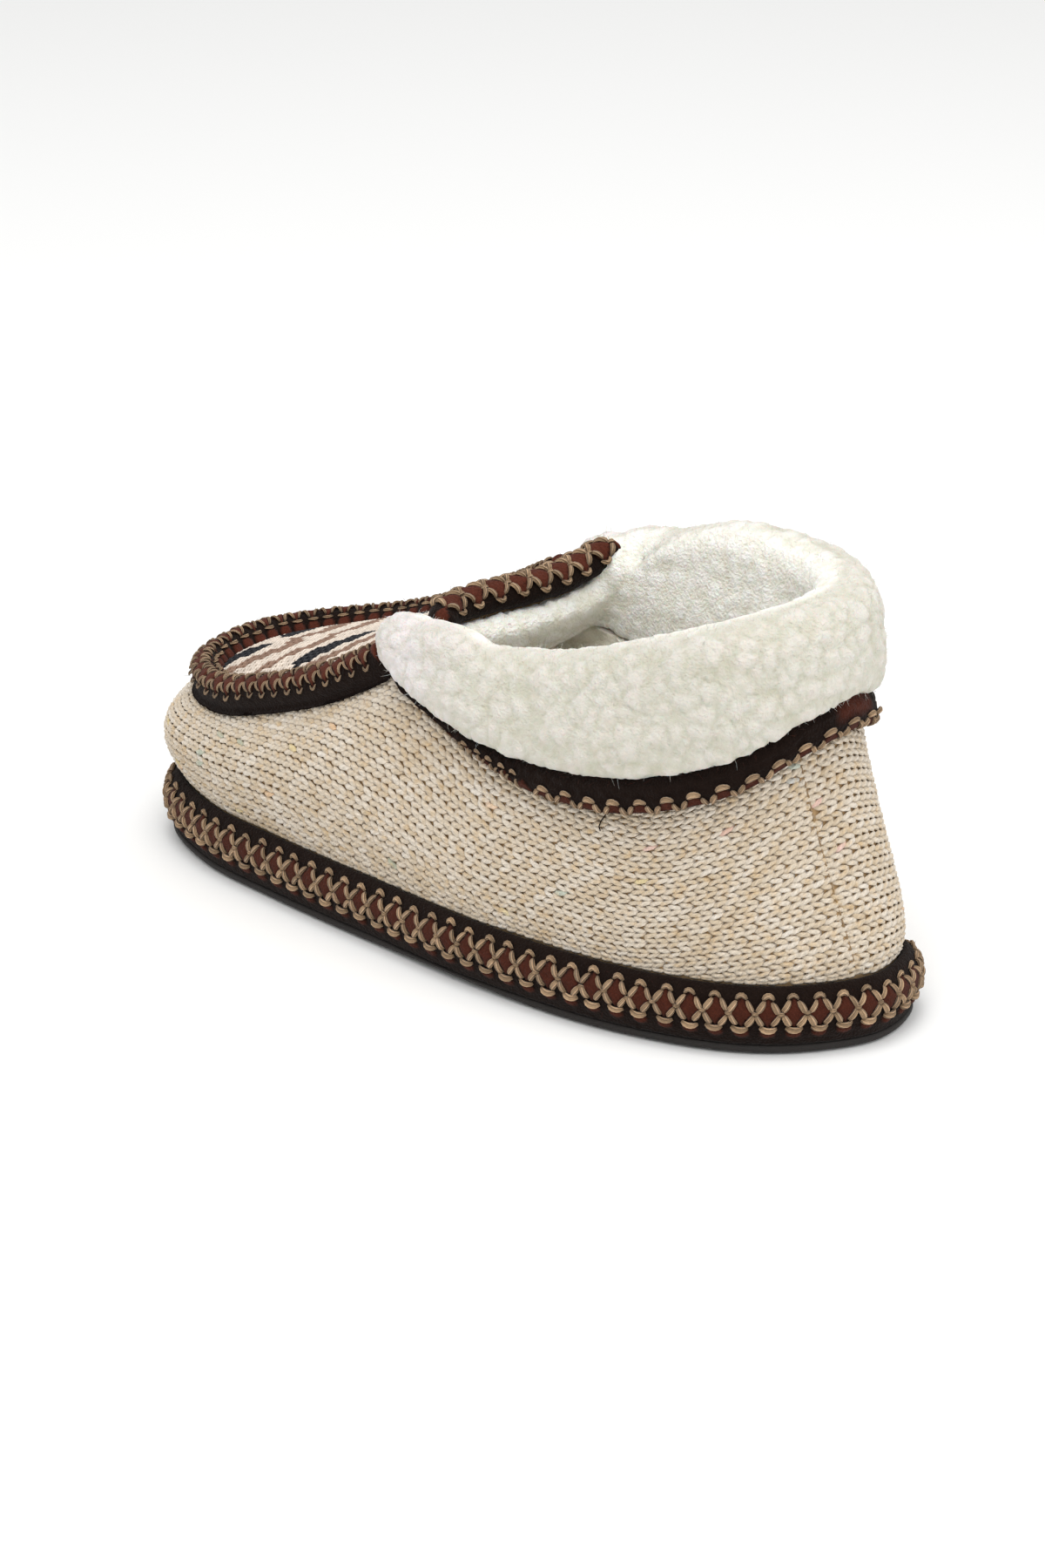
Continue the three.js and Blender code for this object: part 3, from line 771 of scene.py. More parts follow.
# One cross of the tape, in millimetres along and across it from the middle of a diamond:
# the start, middle and end of each tan stitch, and its half width.
STITCHES = [
    ((-1.55, 3.75), (0, 4.6), (1.55, 3.75), 0.74),
    ((-2.25, -4.45), (0, -4.9), (2.25, -4.45), 1.0),
    ((-1.3, 3.3), (-2.25, 1.8), (-3.3, 0.3), 0.84),
    ((1.3, 3.3), (2.25, 1.8), (3.3, 0.3), 0.84),
    ((-3.3, -0.4), (-2.2, -2.0), (-1.15, -3.6), 0.86),
    ((3.3, -0.4), (2.2, -2.0), (1.15, -3.6), 0.86),
    ((2.75, -0.05), (3.6, 0.1), (4.45, -0.05), 0.6),
]
STITCH_STEPS = np.linspace(0, 1, 6)
STITCH_TAPER = np.array([0.6, 0.95, 1.04, 1.04, 0.95, 0.6])
STITCH_SUNK, STITCH_PROUD = 0.45, 0.35
STITCH_WANDER = 0.2
STITCH_FLAT = 0.75
DIAMOND_HALF, DIAMOND_WIDE = 4.0, 0.46
PATCH_RADIUS, PATCH_DOWN, PATCH_FLAT = 1.9, 6.2, 1.3
PATTERN_BLUR = 0.6


def in_diamond(along, across, pitch):
    """1 inside the diamonds between the crosses and the patches below them, 0 outside."""
    side = np.abs((along / pitch + 0.5) % 1 - 0.5) * pitch
    diamond = DIAMOND_HALF * (1 - side / (pitch * DIAMOND_WIDE)) - np.abs(across)
    patch = PATCH_RADIUS - np.hypot(side, (across + PATCH_DOWN) * PATCH_FLAT)
    return np.clip(np.maximum(diamond, patch) / PATTERN_BLUR + 0.5, 0, 1)


def tape_stitches(strands, place, middles, size=(1.0, 1.0), stitches=STITCHES, thick=1.0):
    """Sews the tan stitches of each cross on the tape."""
    share = STITCH_STEPS[:, None]
    arch = -STITCH_SUNK + (STITCH_PROUD + STITCH_SUNK) * np.sin(np.pi * STITCH_STEPS) ** 0.6
    for start, middle, end, half in stitches:
        start, middle, end = (np.array(point) * size for point in (start, middle, end))
        guide = 2 * middle - (start + end) / 2
        curve = start * (1 - share) ** 2 + end * share**2 + 2 * share * (1 - share) * guide
        wander = chance.normal(0, STITCH_WANDER, (len(middles), 1, 2))
        along = middles[:, None] + curve[:, 0] + wander[..., 0]
        across = curve[:, 1] + wander[..., 1]
        paths = placed(place(along, across, arch))
        outs = unit(placed(place(along, across, arch + 1)) - paths)
        shades = TAPE_TAN * chance.uniform(0.8, 1.2, (len(middles), 1))
        shades[:, 3] = 1
        radius = thick * half * STITCH_TAPER * chance.uniform(0.85, 1.12, (len(middles), 1))
        strands.add(paths, outs, radius, STITCH_FLAT, shades, 6)


# Shares of the tape's section that are its face, its lip and its back.
BAND_FACE, BAND_LIP, BAND_BACK = 0.6, 0.15, 0.25
LIP_HIGH, LIP_DROP = 0.7, 0.4

# Size and depth of the felt's unevenness, and steps of its mesh to a cross.
FELT_GRAIN, FELT_ROUGH = 1.4, 0.3
FELT_STEPS = 9


def band_section(across):
    """Distance out and height of the tape's section: up its front, over its lip, and down its back."""
    front = np.clip(across / BAND_FACE, 0, 1)
    height = BAND_LOW + (BAND_TOP - BAND_LOW) * front
    lip = np.clip((across - BAND_FACE) / BAND_LIP, 0, 1)
    out = band_out(height) - BAND_FELT_IN - lip * (BAND_BACK_IN - BAND_LEAN_TOP - BAND_FELT_IN)
    height = height + LIP_HIGH * np.sin(np.pi * lip) - LIP_DROP * lip
    down = np.clip((across - BAND_FACE - BAND_LIP) / BAND_BACK, 0, 1)
    return out, height + (BAND_LOW - height) * down


def band_brown(around, height, across):
    """Share of red-brown in the felt, on the tape's face alone."""
    return in_diamond(around * band_run.total, height - PATTERN_MIDDLE, band_run.pitch) * (across < BAND_FACE)


def roughen(points, size, deep):
    """Small uneven relief of felted wool."""
    return deep * np.array([noise.noise(Vector(point / size)) for point in points])


def band_shape(around, across):
    out, height = band_section(across)
    row = band_run.row(around * band_run.total)
    rough = roughen(outline_point(row, out, height), FELT_GRAIN, FELT_ROUGH)
    return outline_point(row, out + BAND_PUFF * band_brown(around, height, across) + rough, height)


def band_dyes(around, across):
    _, height = band_section(across)
    return TAPE_BLACK + (TAPE_BROWN - TAPE_BLACK) * band_brown(around, height, across)[:, None]


felt = Finish("dark_felt", {"Roughness": 1.0, "Sheen Weight": 0.06, "Sheen Roughness": 0.5,
                            "Specular IOR Level": 0.05})
wisp = felt.speckle(size=0.0007, detail=5.0)
clump = felt.speckle(size=0.003, detail=3.0)
felt.feed("Base Color", felt.shade(felt.carried(), wisp * 0.9 + clump * 0.5 + 0.35))
felt.relief(wisp, depth=0.0006)
tape_yarn = yarn_finish("tan_yarn", twist_long=-9.0, soft=0.1, groove_depth_and_shade=0.24, marled=0.0, plies=4.0)
band_mesh = bent_grid(band_run.count * FELT_STEPS, 40, closed_section(band_shape), band_dyes)
fit("band_felt", band_mesh, felt, "tape", "sole_band")
band_stitches = Strands()
tape_stitches(band_stitches, band_place, np.arange(band_run.count) * band_run.pitch)
fit("band_stitches", band_stitches.mesh(), tape_yarn, "tape")

# Lining: white fleece sewn inside the upper, from the foot bed to under the cuff and beneath the plug,
# in larger and looser curls than the cuff's.
LINING_BACK = 3.4
LINING_DEEP = 9.6
LINING_LEAST = 0.6
LINING_CURL_DEEP = 2.6
LINING_CURL_SIZE = 2.0
# Warm tint of painted shade deep inside the slipper.
LINING_SHADE_TINT = np.array([1, 0.96, 0.9, 1])
LINING_FOOT = 0.01
LINING_FOLD = (0.68, 0.7, 0.3)
LINING_GAP = 0.8
PILE_LEVEL = 0.6
NEAR_RIM = 0.9
CUFF_INSIDE = 14
STRIP_LONG = 24


def lining_spot(around, across):
    """Row and rise of a place on the lining, and whether it is on its face."""
    row = around * ROWS
    top = 1 - rise_for(row, NEAR_RIM, CUFF_INSIDE + STRIP_LONG + LINING_GAP)
    share, face = folded(across, *LINING_FOLD)
    return row, LINING_FOOT + (top - LINING_FOOT) * share, face


def lining_shape(around, across):
    row, rise, face = lining_spot(around, across)
    back = skin(row, rise, -LINING_BACK)
    pile = LINING_DEEP + LINING_CURL_DEEP * (curls(back / LINING_CURL_SIZE) - PILE_LEVEL)
    return skin(row, rise, np.where(face, -np.maximum(pile, LINING_BACK + LINING_LEAST), -LINING_BACK))


# The lining takes the inside's painted light, painted shade in the hollows of its curls, and a warm tint of
# painted shade.
def lining_dyes(around, across):
    row, rise, _ = lining_spot(around, across)
    return fleece_dyes(curls(skin(row, rise, -LINING_BACK) / LINING_CURL_SIZE), 1.0) * LINING_SHADE_TINT


lining_mesh = bent_grid(330, 84, closed_section(lining_shape), lining_dyes)
collar_lining = fit("collar_lining", lining_mesh, fleece, "fleece")

# Plug: the knitted panel over the toes, worked across the foot in cream, taupe and black from a small
# chart of leaves and chevrons, and sewn in round its edge.
PLUG_SIDES = (6.22, 11.5)
PLUG_FOLD = (0.5, 0.55, 0.4)
PLUG_BACKING_IN = 0.9
PLUG_PUFF = 2.6
PLUG_RIM = 9
PLUG_LIP = 3


def plug_puff(row, rise):
    """How far the padded panel swells: nothing at its seam, a little at the throat, most inside."""
    inside = (rise - seam_rise(row)) / rise_for(row, rise, 1.0)
    from_throat = np.linalg.norm(wall(row, 1) - wall(row, rise), axis=-1)
    near = np.clip(np.minimum(inside, from_throat + PLUG_LIP) / PLUG_RIM, 0, 1)
    return PLUG_PUFF * near * (2 - near)


def plug_shape(around, across):
    row = PLUG_SIDES[0] + (PLUG_SIDES[1] - PLUG_SIDES[0]) * around
    seam = seam_rise(row)
    low = seam + rise_for(row, seam, PLUG_GAP)
    share, face = folded(across, *PLUG_FOLD)
    rise = low + (1 - low) * share
    return skin(row, rise, np.where(face, plug_puff(row, rise) - PLUG_BACKING_IN, -WALL_THICK))


# The plug's sheet carries the same painted shade between its stitches.
fit("plug_shade_sheet", bent_grid(120, 40, closed_section(plug_shape)), gap_shade, "plug_knit", "vamp_plug")

PLUG_WALE, PLUG_WALES = 2.7, 52
PLUG_COURSE, PLUG_COURSES = 2.3, 18
PLUG_LEG = 3.6
PLUG_LEG_RADIUS = 0.22
PLUG_SUNK = 0.8
PLUG_EDGE = 1.2
PLUG_TURN = 200
PLUG_DYES = {"c": dye(228, 214, 199), "t": dye(148, 119, 101), "k": dye(30, 31, 36)}

# Stitches of half the panel, from its middle outwards, one line a row from the toe to the throat.
PLUG_CHART = [
    "cccccccccccccc",
    "ccccccckkkkkcc",
    "ccccckkkkkkkkc",
    "ccckkkkkkkkkct",
    "cckkkkkkkkcctt",
    "cckkkkkccccttt",
    "cccccccccctttc",
    "tcccccctttttcc",
    "tttccttttttccc",
    "cttttttttccccc",
    "cctttttccccccc",
    "ccccccccccccct",
    "cccccccccctttt",
    "tcccccttttttcc",
    "tttttttttccccc",
    "cctttttccccccc",
]

net_rows, net_rises = (grid.ravel() for grid in np.meshgrid(
    np.linspace(5.9, 12, 240), np.linspace(0.3, 1, 90), indexing="ij"))
net_points = wall(net_rows, net_rises)
plug_tree = kdtree.KDTree(len(net_points))
for place, point in enumerate(net_points):
    plug_tree.insert((point[0], point[1], 0), place)
plug_tree.balance()


def plug_spot(plans):
    """Row and rise of places on the plug given by their plan: from the nearest known place, in steps."""
    spots = plans.reshape(-1, 2)
    nearest = [plug_tree.find((*spot, 0))[1] for spot in spots]
    row, rise = net_rows[nearest], net_rises[nearest]
    for _ in range(4):
        by_row = (wall(row + NUDGE, rise)[:, :2] - wall(row - NUDGE, rise)[:, :2]) / (2 * NUDGE)
        by_rise = (wall(row, rise + NUDGE)[:, :2] - wall(row, rise - NUDGE)[:, :2]) / (2 * NUDGE)
        miss = spots - wall(row, rise)[:, :2]
        area = by_row[:, 0] * by_rise[:, 1] - by_row[:, 1] * by_rise[:, 0]
        row = row + np.clip((miss[:, 0] * by_rise[:, 1] - miss[:, 1] * by_rise[:, 0]) / area, -0.1, 0.1)
        rise = rise + np.clip((by_row[:, 0] * miss[:, 1] - by_row[:, 1] * miss[:, 0]) / area, -0.05, 0.05)
    return row.reshape(plans.shape[:-1]), rise.reshape(plans.shape[:-1])


plug_spread = LEG_WIDE[0] + (LEG_CLOSE - LEG_WIDE[0]) * LEG_STEPS
plug_plans, plug_shades = [], []
for wale in range(PLUG_WALES):
    forward = PLUG_FRONT - PLUG_EDGE - wale * PLUG_WALE
    line = PLUG_CHART[wale % len(PLUG_CHART)]
    for course in range(-PLUG_COURSES, PLUG_COURSES + 1):
        aside = PLUG_MIDDLE + course * PLUG_COURSE
        if not in_plug(np.array([forward + np.sign(forward - PLUG_TURN) * PLUG_EDGE, aside, 0])):
            continue
        shade = PLUG_DYES[line[min(abs(course), len(line) - 1)]]
        leg_aside = aside + PLUG_LEG * (0.5 - LEG_STEPS)
        for side in (-1, 1):
            plug_plans.append(np.stack([forward + side * plug_spread * PLUG_WALE, leg_aside], -1))
            plug_shades.append(shade * chance.uniform(0.86, 1.12))
plug_rows, plug_rises = plug_spot(np.array(plug_plans))
on_plug = plug_rises.max(1) < 1.0
plug_rows, plug_rises = plug_rows[on_plug], plug_rises[on_plug]
plug_arch = np.sin(np.pi * np.clip(0.1 + 0.9 * LEG_STEPS, 0, 1)) ** 0.7
plug_lift = -PLUG_SUNK + PLUG_SUNK * plug_arch + plug_puff(plug_rows, plug_rises)
plug_knit = Strands()
plug_knit.add(placed(skin(plug_rows, plug_rises, plug_lift)), out_of(plug_rows, plug_rises),
              PLUG_WALE * PLUG_LEG_RADIUS * LEG_TAPER, LEG_THICK, np.array(plug_shades)[on_plug])
plug_yarn = yarn_finish("plug_yarn", twist_long=2.0, soft=0.08, groove_depth_and_shade=0.06, marled=0.0)
fit("plug_stitches", plug_knit.mesh(), plug_yarn, "plug_knit")

# Plug trim: the same tape sewn over a cord round the plug's seam, its crosses along the ridge and a
# dark border down each side.
PLUG_TRIM_ENDS = (6.06, 11.15)
PLUG_TRIM_HALF, PLUG_TRIM_HIGH, WELT_GAP, WELT_POWER = 5.4, 8, 0.6, 0.8
PLUG_TRIM_WIDE = 11.2
TRIM_CROSS = 5.3
TRIM_SKIRT = 2.2
TRIM_SIGHT = 0.1
TRIM_FELT_IN = 0.7
TRIM_PUFF = 0.7
# The trims' red-brown is a lighter copy of the band's, painted light on the sides of the trims.
TRIM_BROWN_PAINTED_LIGHT = dye(80, 40, 29)


def seam_point(row):
    return wall(row, seam_rise(row))


trim_rows = np.linspace(*PLUG_TRIM_ENDS, 500)
trim_run = Run(trim_rows, seam_point(trim_rows), TRIM_CROSS)


def trim_place(along, across, lift):
    """A place on the tape over the cord: along the seam, across the tape from its ridge, and out of it."""
    row = trim_run.row(along)
    forward = unit(seam_point(row + TRIM_SIGHT) - seam_point(row - TRIM_SIGHT))
    out = out_of(row, seam_rise(row))
    side = unit(np.cross(out, forward))
    angle = np.pi / 2 * (1 - np.clip(across / PLUG_TRIM_WIDE, -1, 1))
    sine = np.maximum(np.sin(angle), TINY)
    welt = side * (PLUG_TRIM_HALF * np.cos(angle))[..., None]
    welt = welt + out * (WELT_GAP + PLUG_TRIM_HIGH * sine**WELT_POWER)[..., None]
    facing = side * (np.cos(angle) / PLUG_TRIM_HALF)[..., None] + out * (sine / PLUG_TRIM_HIGH)[..., None]
    skirt = np.sign(across) * np.maximum(np.abs(across) - PLUG_TRIM_WIDE, 0)
    lifted = unit(facing) * np.asarray(lift, float)[..., None]
    return seam_point(row) + welt + side * skirt[..., None] + lifted


def tape_felt(run, place, low, high, face_share, stretch, closed_round=False):
    """The felted ground of a tape that wraps a trim: low to high across it, then along its back."""
    def ground(around, across):
        over = low + (high - low) * np.clip(across / face_share, 0, 1)
        return over, in_diamond(around * run.total, over / stretch, run.pitch) * (across <= face_share)

    def shape(around, across):
        along = around * run.total
        over, brown = ground(around, across)
        rough = roughen(place(along, over, 0), FELT_GRAIN, FELT_ROUGH)
        face = place(along, over, -TRIM_FELT_IN + TRIM_PUFF * brown + rough)
        if closed_round:
            return face
        back_share = np.clip((across - face_share) / (1 - face_share), 0, 1)[:, None]
        return face + (place(along, np.full_like(along, low), -TRIM_FELT_IN) - face) * back_share

    def dyes(around, across):
        _, brown = ground(around, across)
        return TAPE_BLACK + (TRIM_BROWN_PAINTED_LIGHT - TAPE_BLACK) * brown[:, None]

    return bent_grid(int(run.total / run.pitch * FELT_STEPS), 34, closed_section(shape), dyes)


trim_mesh = tape_felt(trim_run, trim_place, -PLUG_TRIM_WIDE, PLUG_TRIM_WIDE + TRIM_SKIRT,
                      face_share=0.85, stretch=1.5)
fit("plug_trim_felt", trim_mesh, felt, "tape", "plug_trim")
trim_stitches = Strands()
trim_middles = np.arange(1, trim_run.count) * trim_run.pitch
tape_stitches(trim_stitches, trim_place, trim_middles, (0.74, 1.45), STITCHES[:-1], thick=0.56)
fit("plug_trim_stitches", trim_stitches.mesh(), tape_yarn, "tape")

# Throat trim: the tape rolled into a tube with rounded ends and sewn along the plug's back edge, across
# the instep, with its crosses turned towards the collar.
THROAT_ENDS = (6.25, 11.4)
THROAT_RADIUS, THROAT_RAISE, SEAT_GAP = 5.0, 1.6, 0.3
THROAT_FACING = 0.95


def throat_middle(row):
    return wall(row, 1) + up_along(row, 1) * (THROAT_RADIUS + SEAT_GAP) + out_of(row, 1) * THROAT_RAISE


throat_rows = np.linspace(*THROAT_ENDS, 300)
throat_run = Run(throat_rows, throat_middle(throat_rows), CROSS)


def throat_place(along, across, lift):
    """A place on the rolled tape: along it, round it from the middle of its crosses, and out of it."""
    row = throat_run.row(along)
    angle = THROAT_FACING + across / THROAT_RADIUS
    tip = np.minimum(along, throat_run.total - along) / THROAT_RADIUS
    reach = (THROAT_RADIUS + lift) * np.sqrt(np.clip(1 - (1 - np.clip(tip, 0.02, 1)) ** 2, 0, 1))
    out = out_of(row, 1) * (reach * np.cos(angle))[..., None]
    up = up_along(row, 1) * (reach * np.sin(angle))[..., None]
    return throat_middle(row) + out + up


throat_mesh = tape_felt(throat_run, throat_place, -np.pi * THROAT_RADIUS, np.pi * THROAT_RADIUS,
                        face_share=1.0, stretch=1.4, closed_round=True)
fit("throat_trim_felt", throat_mesh, felt, "tape", "throat_trim")
throat_stitches = Strands()
throat_middles = np.arange(1, throat_run.count) * throat_run.pitch
tape_stitches(throat_stitches, throat_place, throat_middles, (1.0, 1.15))
fit("throat_trim_stitches", throat_stitches.mesh(), tape_yarn, "tape")

# Cuff edge trim: the tape folded under the cuff's low edge, so that a wide felted border shows above a
# row of tan scallops. It narrows where it climbs the cuff's front ends.
CUFF_END_OUTER, CUFF_END_INNER = 6.05, 6.4
CUFF_NOSE, NOSE_RISE = 0.9, 0.9
CUFF_GAP = 0.8
EDGE_HIGH, EDGE_NOSE, EDGE_THICK = 10, 3.5, 5.5
EDGE_CROSS = 7.6
EDGE_STRETCH = 0.85
EDGE_FOLD = (0.6, 0.62, 0.35)
EDGE_FELT_IN, EDGE_PUFF = 0.6, 0.5
EDGE_GRAIN, EDGE_ROUGH = 1.6, 0.5

# Shares of the trim's height, and how far it stands out there as a share of its thickness.
EDGE_SHARES = [-0.05, 0, 0.25, 0.75, 1]
EDGE_OUTS = [0.45, 0.7, 1, 1, 0.8]

# Sections from the heel at which the trim narrows, and the share of its height that is left there.
EDGE_NARROWS = [3.1, 3.8, 4.3, 4.8]
EDGE_SHOWN = [0.95, 0.74, 0.4, 0.14]

# The tape's join on the inner side of the heel, where the felt is red-brown: its middle and half width in
# sections, and the share of the trim's height where the brown starts.
EDGE_JOIN, EDGE_JOIN_HALF, EDGE_JOIN_LOW = 0.25, 0.6, 0.3


def nose_share(row):
    """Share of the way into the rounded front end of the cuff."""
    end = np.where(row > 0, CUFF_END_OUTER, CUFF_END_INNER)
    return np.clip((np.abs(row) - end + CUFF_NOSE) / CUFF_NOSE, 0, 1)


def hem_rise(row):
    """Rise of the cuff's low edge, which climbs to the rim at its front ends."""
    low = np.interp(np.asarray(row) % ROWS, CHART_ROWS, chart_hem)
    return low + (NOSE_RISE - low) * (1 - np.sqrt(1 - nose_share(row) ** 2))


edge_rows = np.linspace(-CUFF_END_INNER, CUFF_END_OUTER, 900)
edge_run = Run(edge_rows, wall(edge_rows, hem_rise(edge_rows)), EDGE_CROSS)


def edge_spot(along, share):
    """Row and rise of a place on the trim: share runs from its low edge to its high one."""
    row = edge_run.row(along)
    low = hem_rise(row)
    high = EDGE_HIGH + (EDGE_NOSE - EDGE_HIGH) * nose_share(row)
    shown = np.interp(np.abs(row), EDGE_NARROWS, EDGE_SHOWN)
    share = 1 - (1 - share) * shown
    return row, low + rise_for(row, low, high) * share


def edge_place(along, across, lift):
    """A place on the trim: along it, across it up from its fold, and out of it."""
    share = across / EDGE_HIGH
    out = EDGE_THICK * np.interp(share, EDGE_SHARES, EDGE_OUTS) + lift
    return skin(*edge_spot(along, share), out)


def edge_shape(around, across):
    along = around * edge_run.total
    share, face = folded(across, *EDGE_FOLD)
    over = share * EDGE_HIGH
    rough = roughen(edge_place(along, over, 0), EDGE_GRAIN, EDGE_ROUGH)
    brown = in_diamond(along, over / EDGE_STRETCH, edge_run.pitch)
    front = edge_place(along, over, rough - EDGE_FELT_IN + EDGE_PUFF * brown)
    back = skin(*edge_spot(along, share), CUFF_GAP)
    return np.where(face[:, None], front, back)


def edge_dyes(around, across):
    along = around * edge_run.total
    share, face = folded(across, *EDGE_FOLD)
    share = np.where(face, share, 1)
    brown = in_diamond(along, share * EDGE_HIGH / EDGE_STRETCH, edge_run.pitch)
    join = 1 - np.abs(edge_run.row(along) + EDGE_JOIN) / EDGE_JOIN_HALF
    joined = np.clip(join * 3, 0, 1) * np.clip((share - EDGE_JOIN_LOW) * 4, 0, 1)
    return TAPE_BLACK + (TAPE_BROWN - TAPE_BLACK) * np.maximum(brown, joined)[:, None]


edge_mesh = bent_grid(edge_run.count * FELT_STEPS, 36, closed_section(edge_shape), edge_dyes)
fit("cuff_edge_felt", edge_mesh, felt, "tape", "cuff_edge_trim")

# One scallop along the cuff's edge: a domed stitch, and a slanted one down to the fold on each side.
# They are smaller and closer from the first section below to the second, and then stop.
SCALLOPS = [
    ((-1.7, 2.7), (0, 3.5), (1.7, 2.7), 0.85),
    ((-2.0, 1.9), (-2.6, 0.9), (-3.3, -0.4), 0.8),
    ((2.0, 1.9), (2.6, 0.9), (3.3, -0.4), 0.8),
]
FULL_SCALLOPS, SMALL_SCALLOPS, SMALL_PITCH = 3.7, 4.5, 5.0
edge_stitches = Strands()
edge_middles = np.arange(1, edge_run.count) * edge_run.pitch
edge_middles = edge_middles[np.abs(edge_run.row(edge_middles)) < FULL_SCALLOPS]
tape_stitches(edge_stitches, edge_place, edge_middles, stitches=SCALLOPS)
front_middles = np.arange(0, edge_run.total, SMALL_PITCH)
front_rows = np.abs(edge_run.row(front_middles))
front_middles = front_middles[(front_rows > FULL_SCALLOPS + 0.1) & (front_rows < SMALL_SCALLOPS)]
tape_stitches(edge_stitches, edge_place, front_middles, (0.66, 1.5), SCALLOPS, thick=0.72)
fit("cuff_edge_stitches", edge_stitches.mesh(), tape_yarn, "tape")

# Cuff: thick white fleece turned down over the collar, soft and clumped into small curls, with loose
# fibre standing off it all over.
CUFF_GRAIN = 0.0011
CUFF_PUFF = 0.9
CUFF_SMOOTHINGS = 6
STRIP_DEEP, STRIP_CROWN, STRIP_LAP, STRIP_GAP = 8.5, 1.5, 6, 0.3
STRIP_FOLD = (0.42, 0.5, 0.42)
THROAT_UNDER = 4.0
THROAT_HANG = 5
HANG_START, HANG_END, HANG_EASE = 5.7, 12.4, 1.4

# Middle and half sizes of the plump front ends that lie over the ends of the trims.
NOSES = [
    ((142, 34.5, 89.5), (12.5, 8, 9.5)),
    ((126, 36.5, 92), (17, 7, 8.5)),
    ((127, -34, 98), (12, 8, 10)),
]
cuff_solid = bmesh.new()
cuff_solid.from_mesh(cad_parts["cuff"].data)
bmesh.ops.remove_doubles(cuff_solid, verts=cuff_solid.verts, dist=TINY)


def strip_shape(around, across):
    """The lining's top strip, which runs on from the cuff's inner edge and under the throat trim."""
    row = around * ROWS
    behind = (row < CUFF_END_OUTER) | (row > ROWS - CUFF_END_INNER)
    high = 1 + rise_for(row, NEAR_RIM, np.where(behind, STRIP_LAP - CUFF_INSIDE, THROAT_UNDER))
    low = 1 - rise_for(row, NEAR_RIM, CUFF_INSIDE + STRIP_LONG)
    share, face = folded(across, *STRIP_FOLD)
    bulge = np.sin(np.pi * share)
    hang = np.clip((row - HANG_START) / HANG_EASE, 0, 1) * np.clip((HANG_END - row) / HANG_EASE, 0, 1)
    full = STRIP_DEEP + STRIP_CROWN * bulge + THROAT_HANG * hang * bulge**0.5
    return skin(row, low + (high - low) * share, np.where(face, -full, -LINING_BACK - STRIP_GAP))


cuff_solid.from_mesh(bent_grid(280, 24, closed_section(strip_shape)))
for middle, half in NOSES:
    ball = bmesh.ops.create_icosphere(cuff_solid, subdivisions=4, radius=1)
    for corner in ball["verts"]:
        corner.co = placed(np.array(middle) + np.array(corner.co) * half)
cuff_plain = bpy.data.meshes.new("cuff_plain")
cuff_solid.to_mesh(cuff_plain)
cuff_solid.free()
cuff_block = bpy.data.objects.new("cuff_plain", cuff_plain)
bpy.context.scene.collection.objects.link(cuff_block)
remesh = cuff_block.modifiers.new("pile", "REMESH")
remesh.mode = "VOXEL"
remesh.voxel_size = CUFF_GRAIN
modelled = bpy.context.evaluated_depsgraph_get()
remeshed = bpy.data.meshes.new_from_object(cuff_block.evaluated_get(modelled))
bpy.data.objects.remove(cuff_block)
cuff_pile = bmesh.new()
cuff_pile.from_mesh(remeshed)
for _ in range(CUFF_SMOOTHINGS):
    bmesh.ops.smooth_vert(cuff_pile, verts=cuff_pile.verts, factor=0.5,
                          use_axis_x=True, use_axis_y=True, use_axis_z=True)
cuff_pile.normal_update()

# The cuff is smoother where it faces into the collar and painted lighter there, as painted light for the
# inside of the collar, and whiter towards its front ends.
INSIDE_EASE, INSIDE_SHIFT, INSIDE_SMOOTH = 25, 0.2, 0.5
FRONT_START, FRONT_EASE = -20, 25
NOSE_WHITE = np.array([0.11, 0.09, 0.19, 0])
collar_middle = RIM.mean(0) - MIDDLE
cuff_points = np.array([corner.co for corner in cuff_pile.verts]) / MM
cuff_outs = np.array([corner.normal for corner in cuff_pile.verts])
cuff_curls = curls(cuff_points)
inwards = ((collar_middle - cuff_points) * cuff_outs)[:, :2].sum(1)
inside = np.clip(inwards / INSIDE_EASE + INSIDE_SHIFT, 0, 1)
front_share = np.clip((cuff_points[:, :1] - FRONT_START) / FRONT_EASE, 0, 1) * (1 - inside[:, None])
cuff_rise = CUFF_PUFF + (cuff_curls - PILE_LEVEL) * CURL_DEEP * (1 - INSIDE_SMOOTH * inside)
# Painted shade in the hollows of the curls, and painted light where the cuff faces into the collar.
cuff_dyes = fleece_dyes(cuff_curls, inside) * (1 + NOSE_WHITE * front_share)
cuff_colour = cuff_pile.verts.layers.float_color.new("dye")
for corner, push, shade in zip(cuff_pile.verts, cuff_rise, cuff_dyes):
    corner.co += corner.normal * float(push) * MM
    corner[cuff_colour] = shade
for face in cuff_pile.faces:
    face.smooth = True
cuff_pile.normal_update()
pile_points = np.array([corner.co for corner in cuff_pile.verts])
pile_outs = np.array([corner.normal for corner in cuff_pile.verts])
cuff_mesh = bpy.data.meshes.new("pile")
cuff_pile.to_mesh(cuff_mesh)
cuff_pile.free()
cuff_fleece = fit("cuff_fleece", cuff_mesh, fleece, "fleece", "cuff")


def loose_fibres(strands, points, outs, length, thin, shades):
    """Fine bent fibres that stand off a surface: points and outward directions in metres."""
    share = np.linspace(0, 1, 3)[:, None]
    lean = unit(chance.normal(0, 1, (len(points), 1, 3)))
    long = length * MM * chance.uniform(0.5, 1.3, (len(points), 1, 1))
    curl = unit(chance.normal(0, 1, (len(points), 1, 3)))
    stand = outs[:, None] * share + lean * share * 0.6 + curl * share**2 * 0.9
    paths = points[:, None] - outs[:, None] * 0.3 * MM + stand * long
    sides = np.broadcast_to(unit(np.cross(outs, lean[:, 0]) + TINY)[:, None], paths.shape)
    strands.add(paths, sides, thin * np.array([1, 0.8, 0.3]), 1.0, shades, 3)


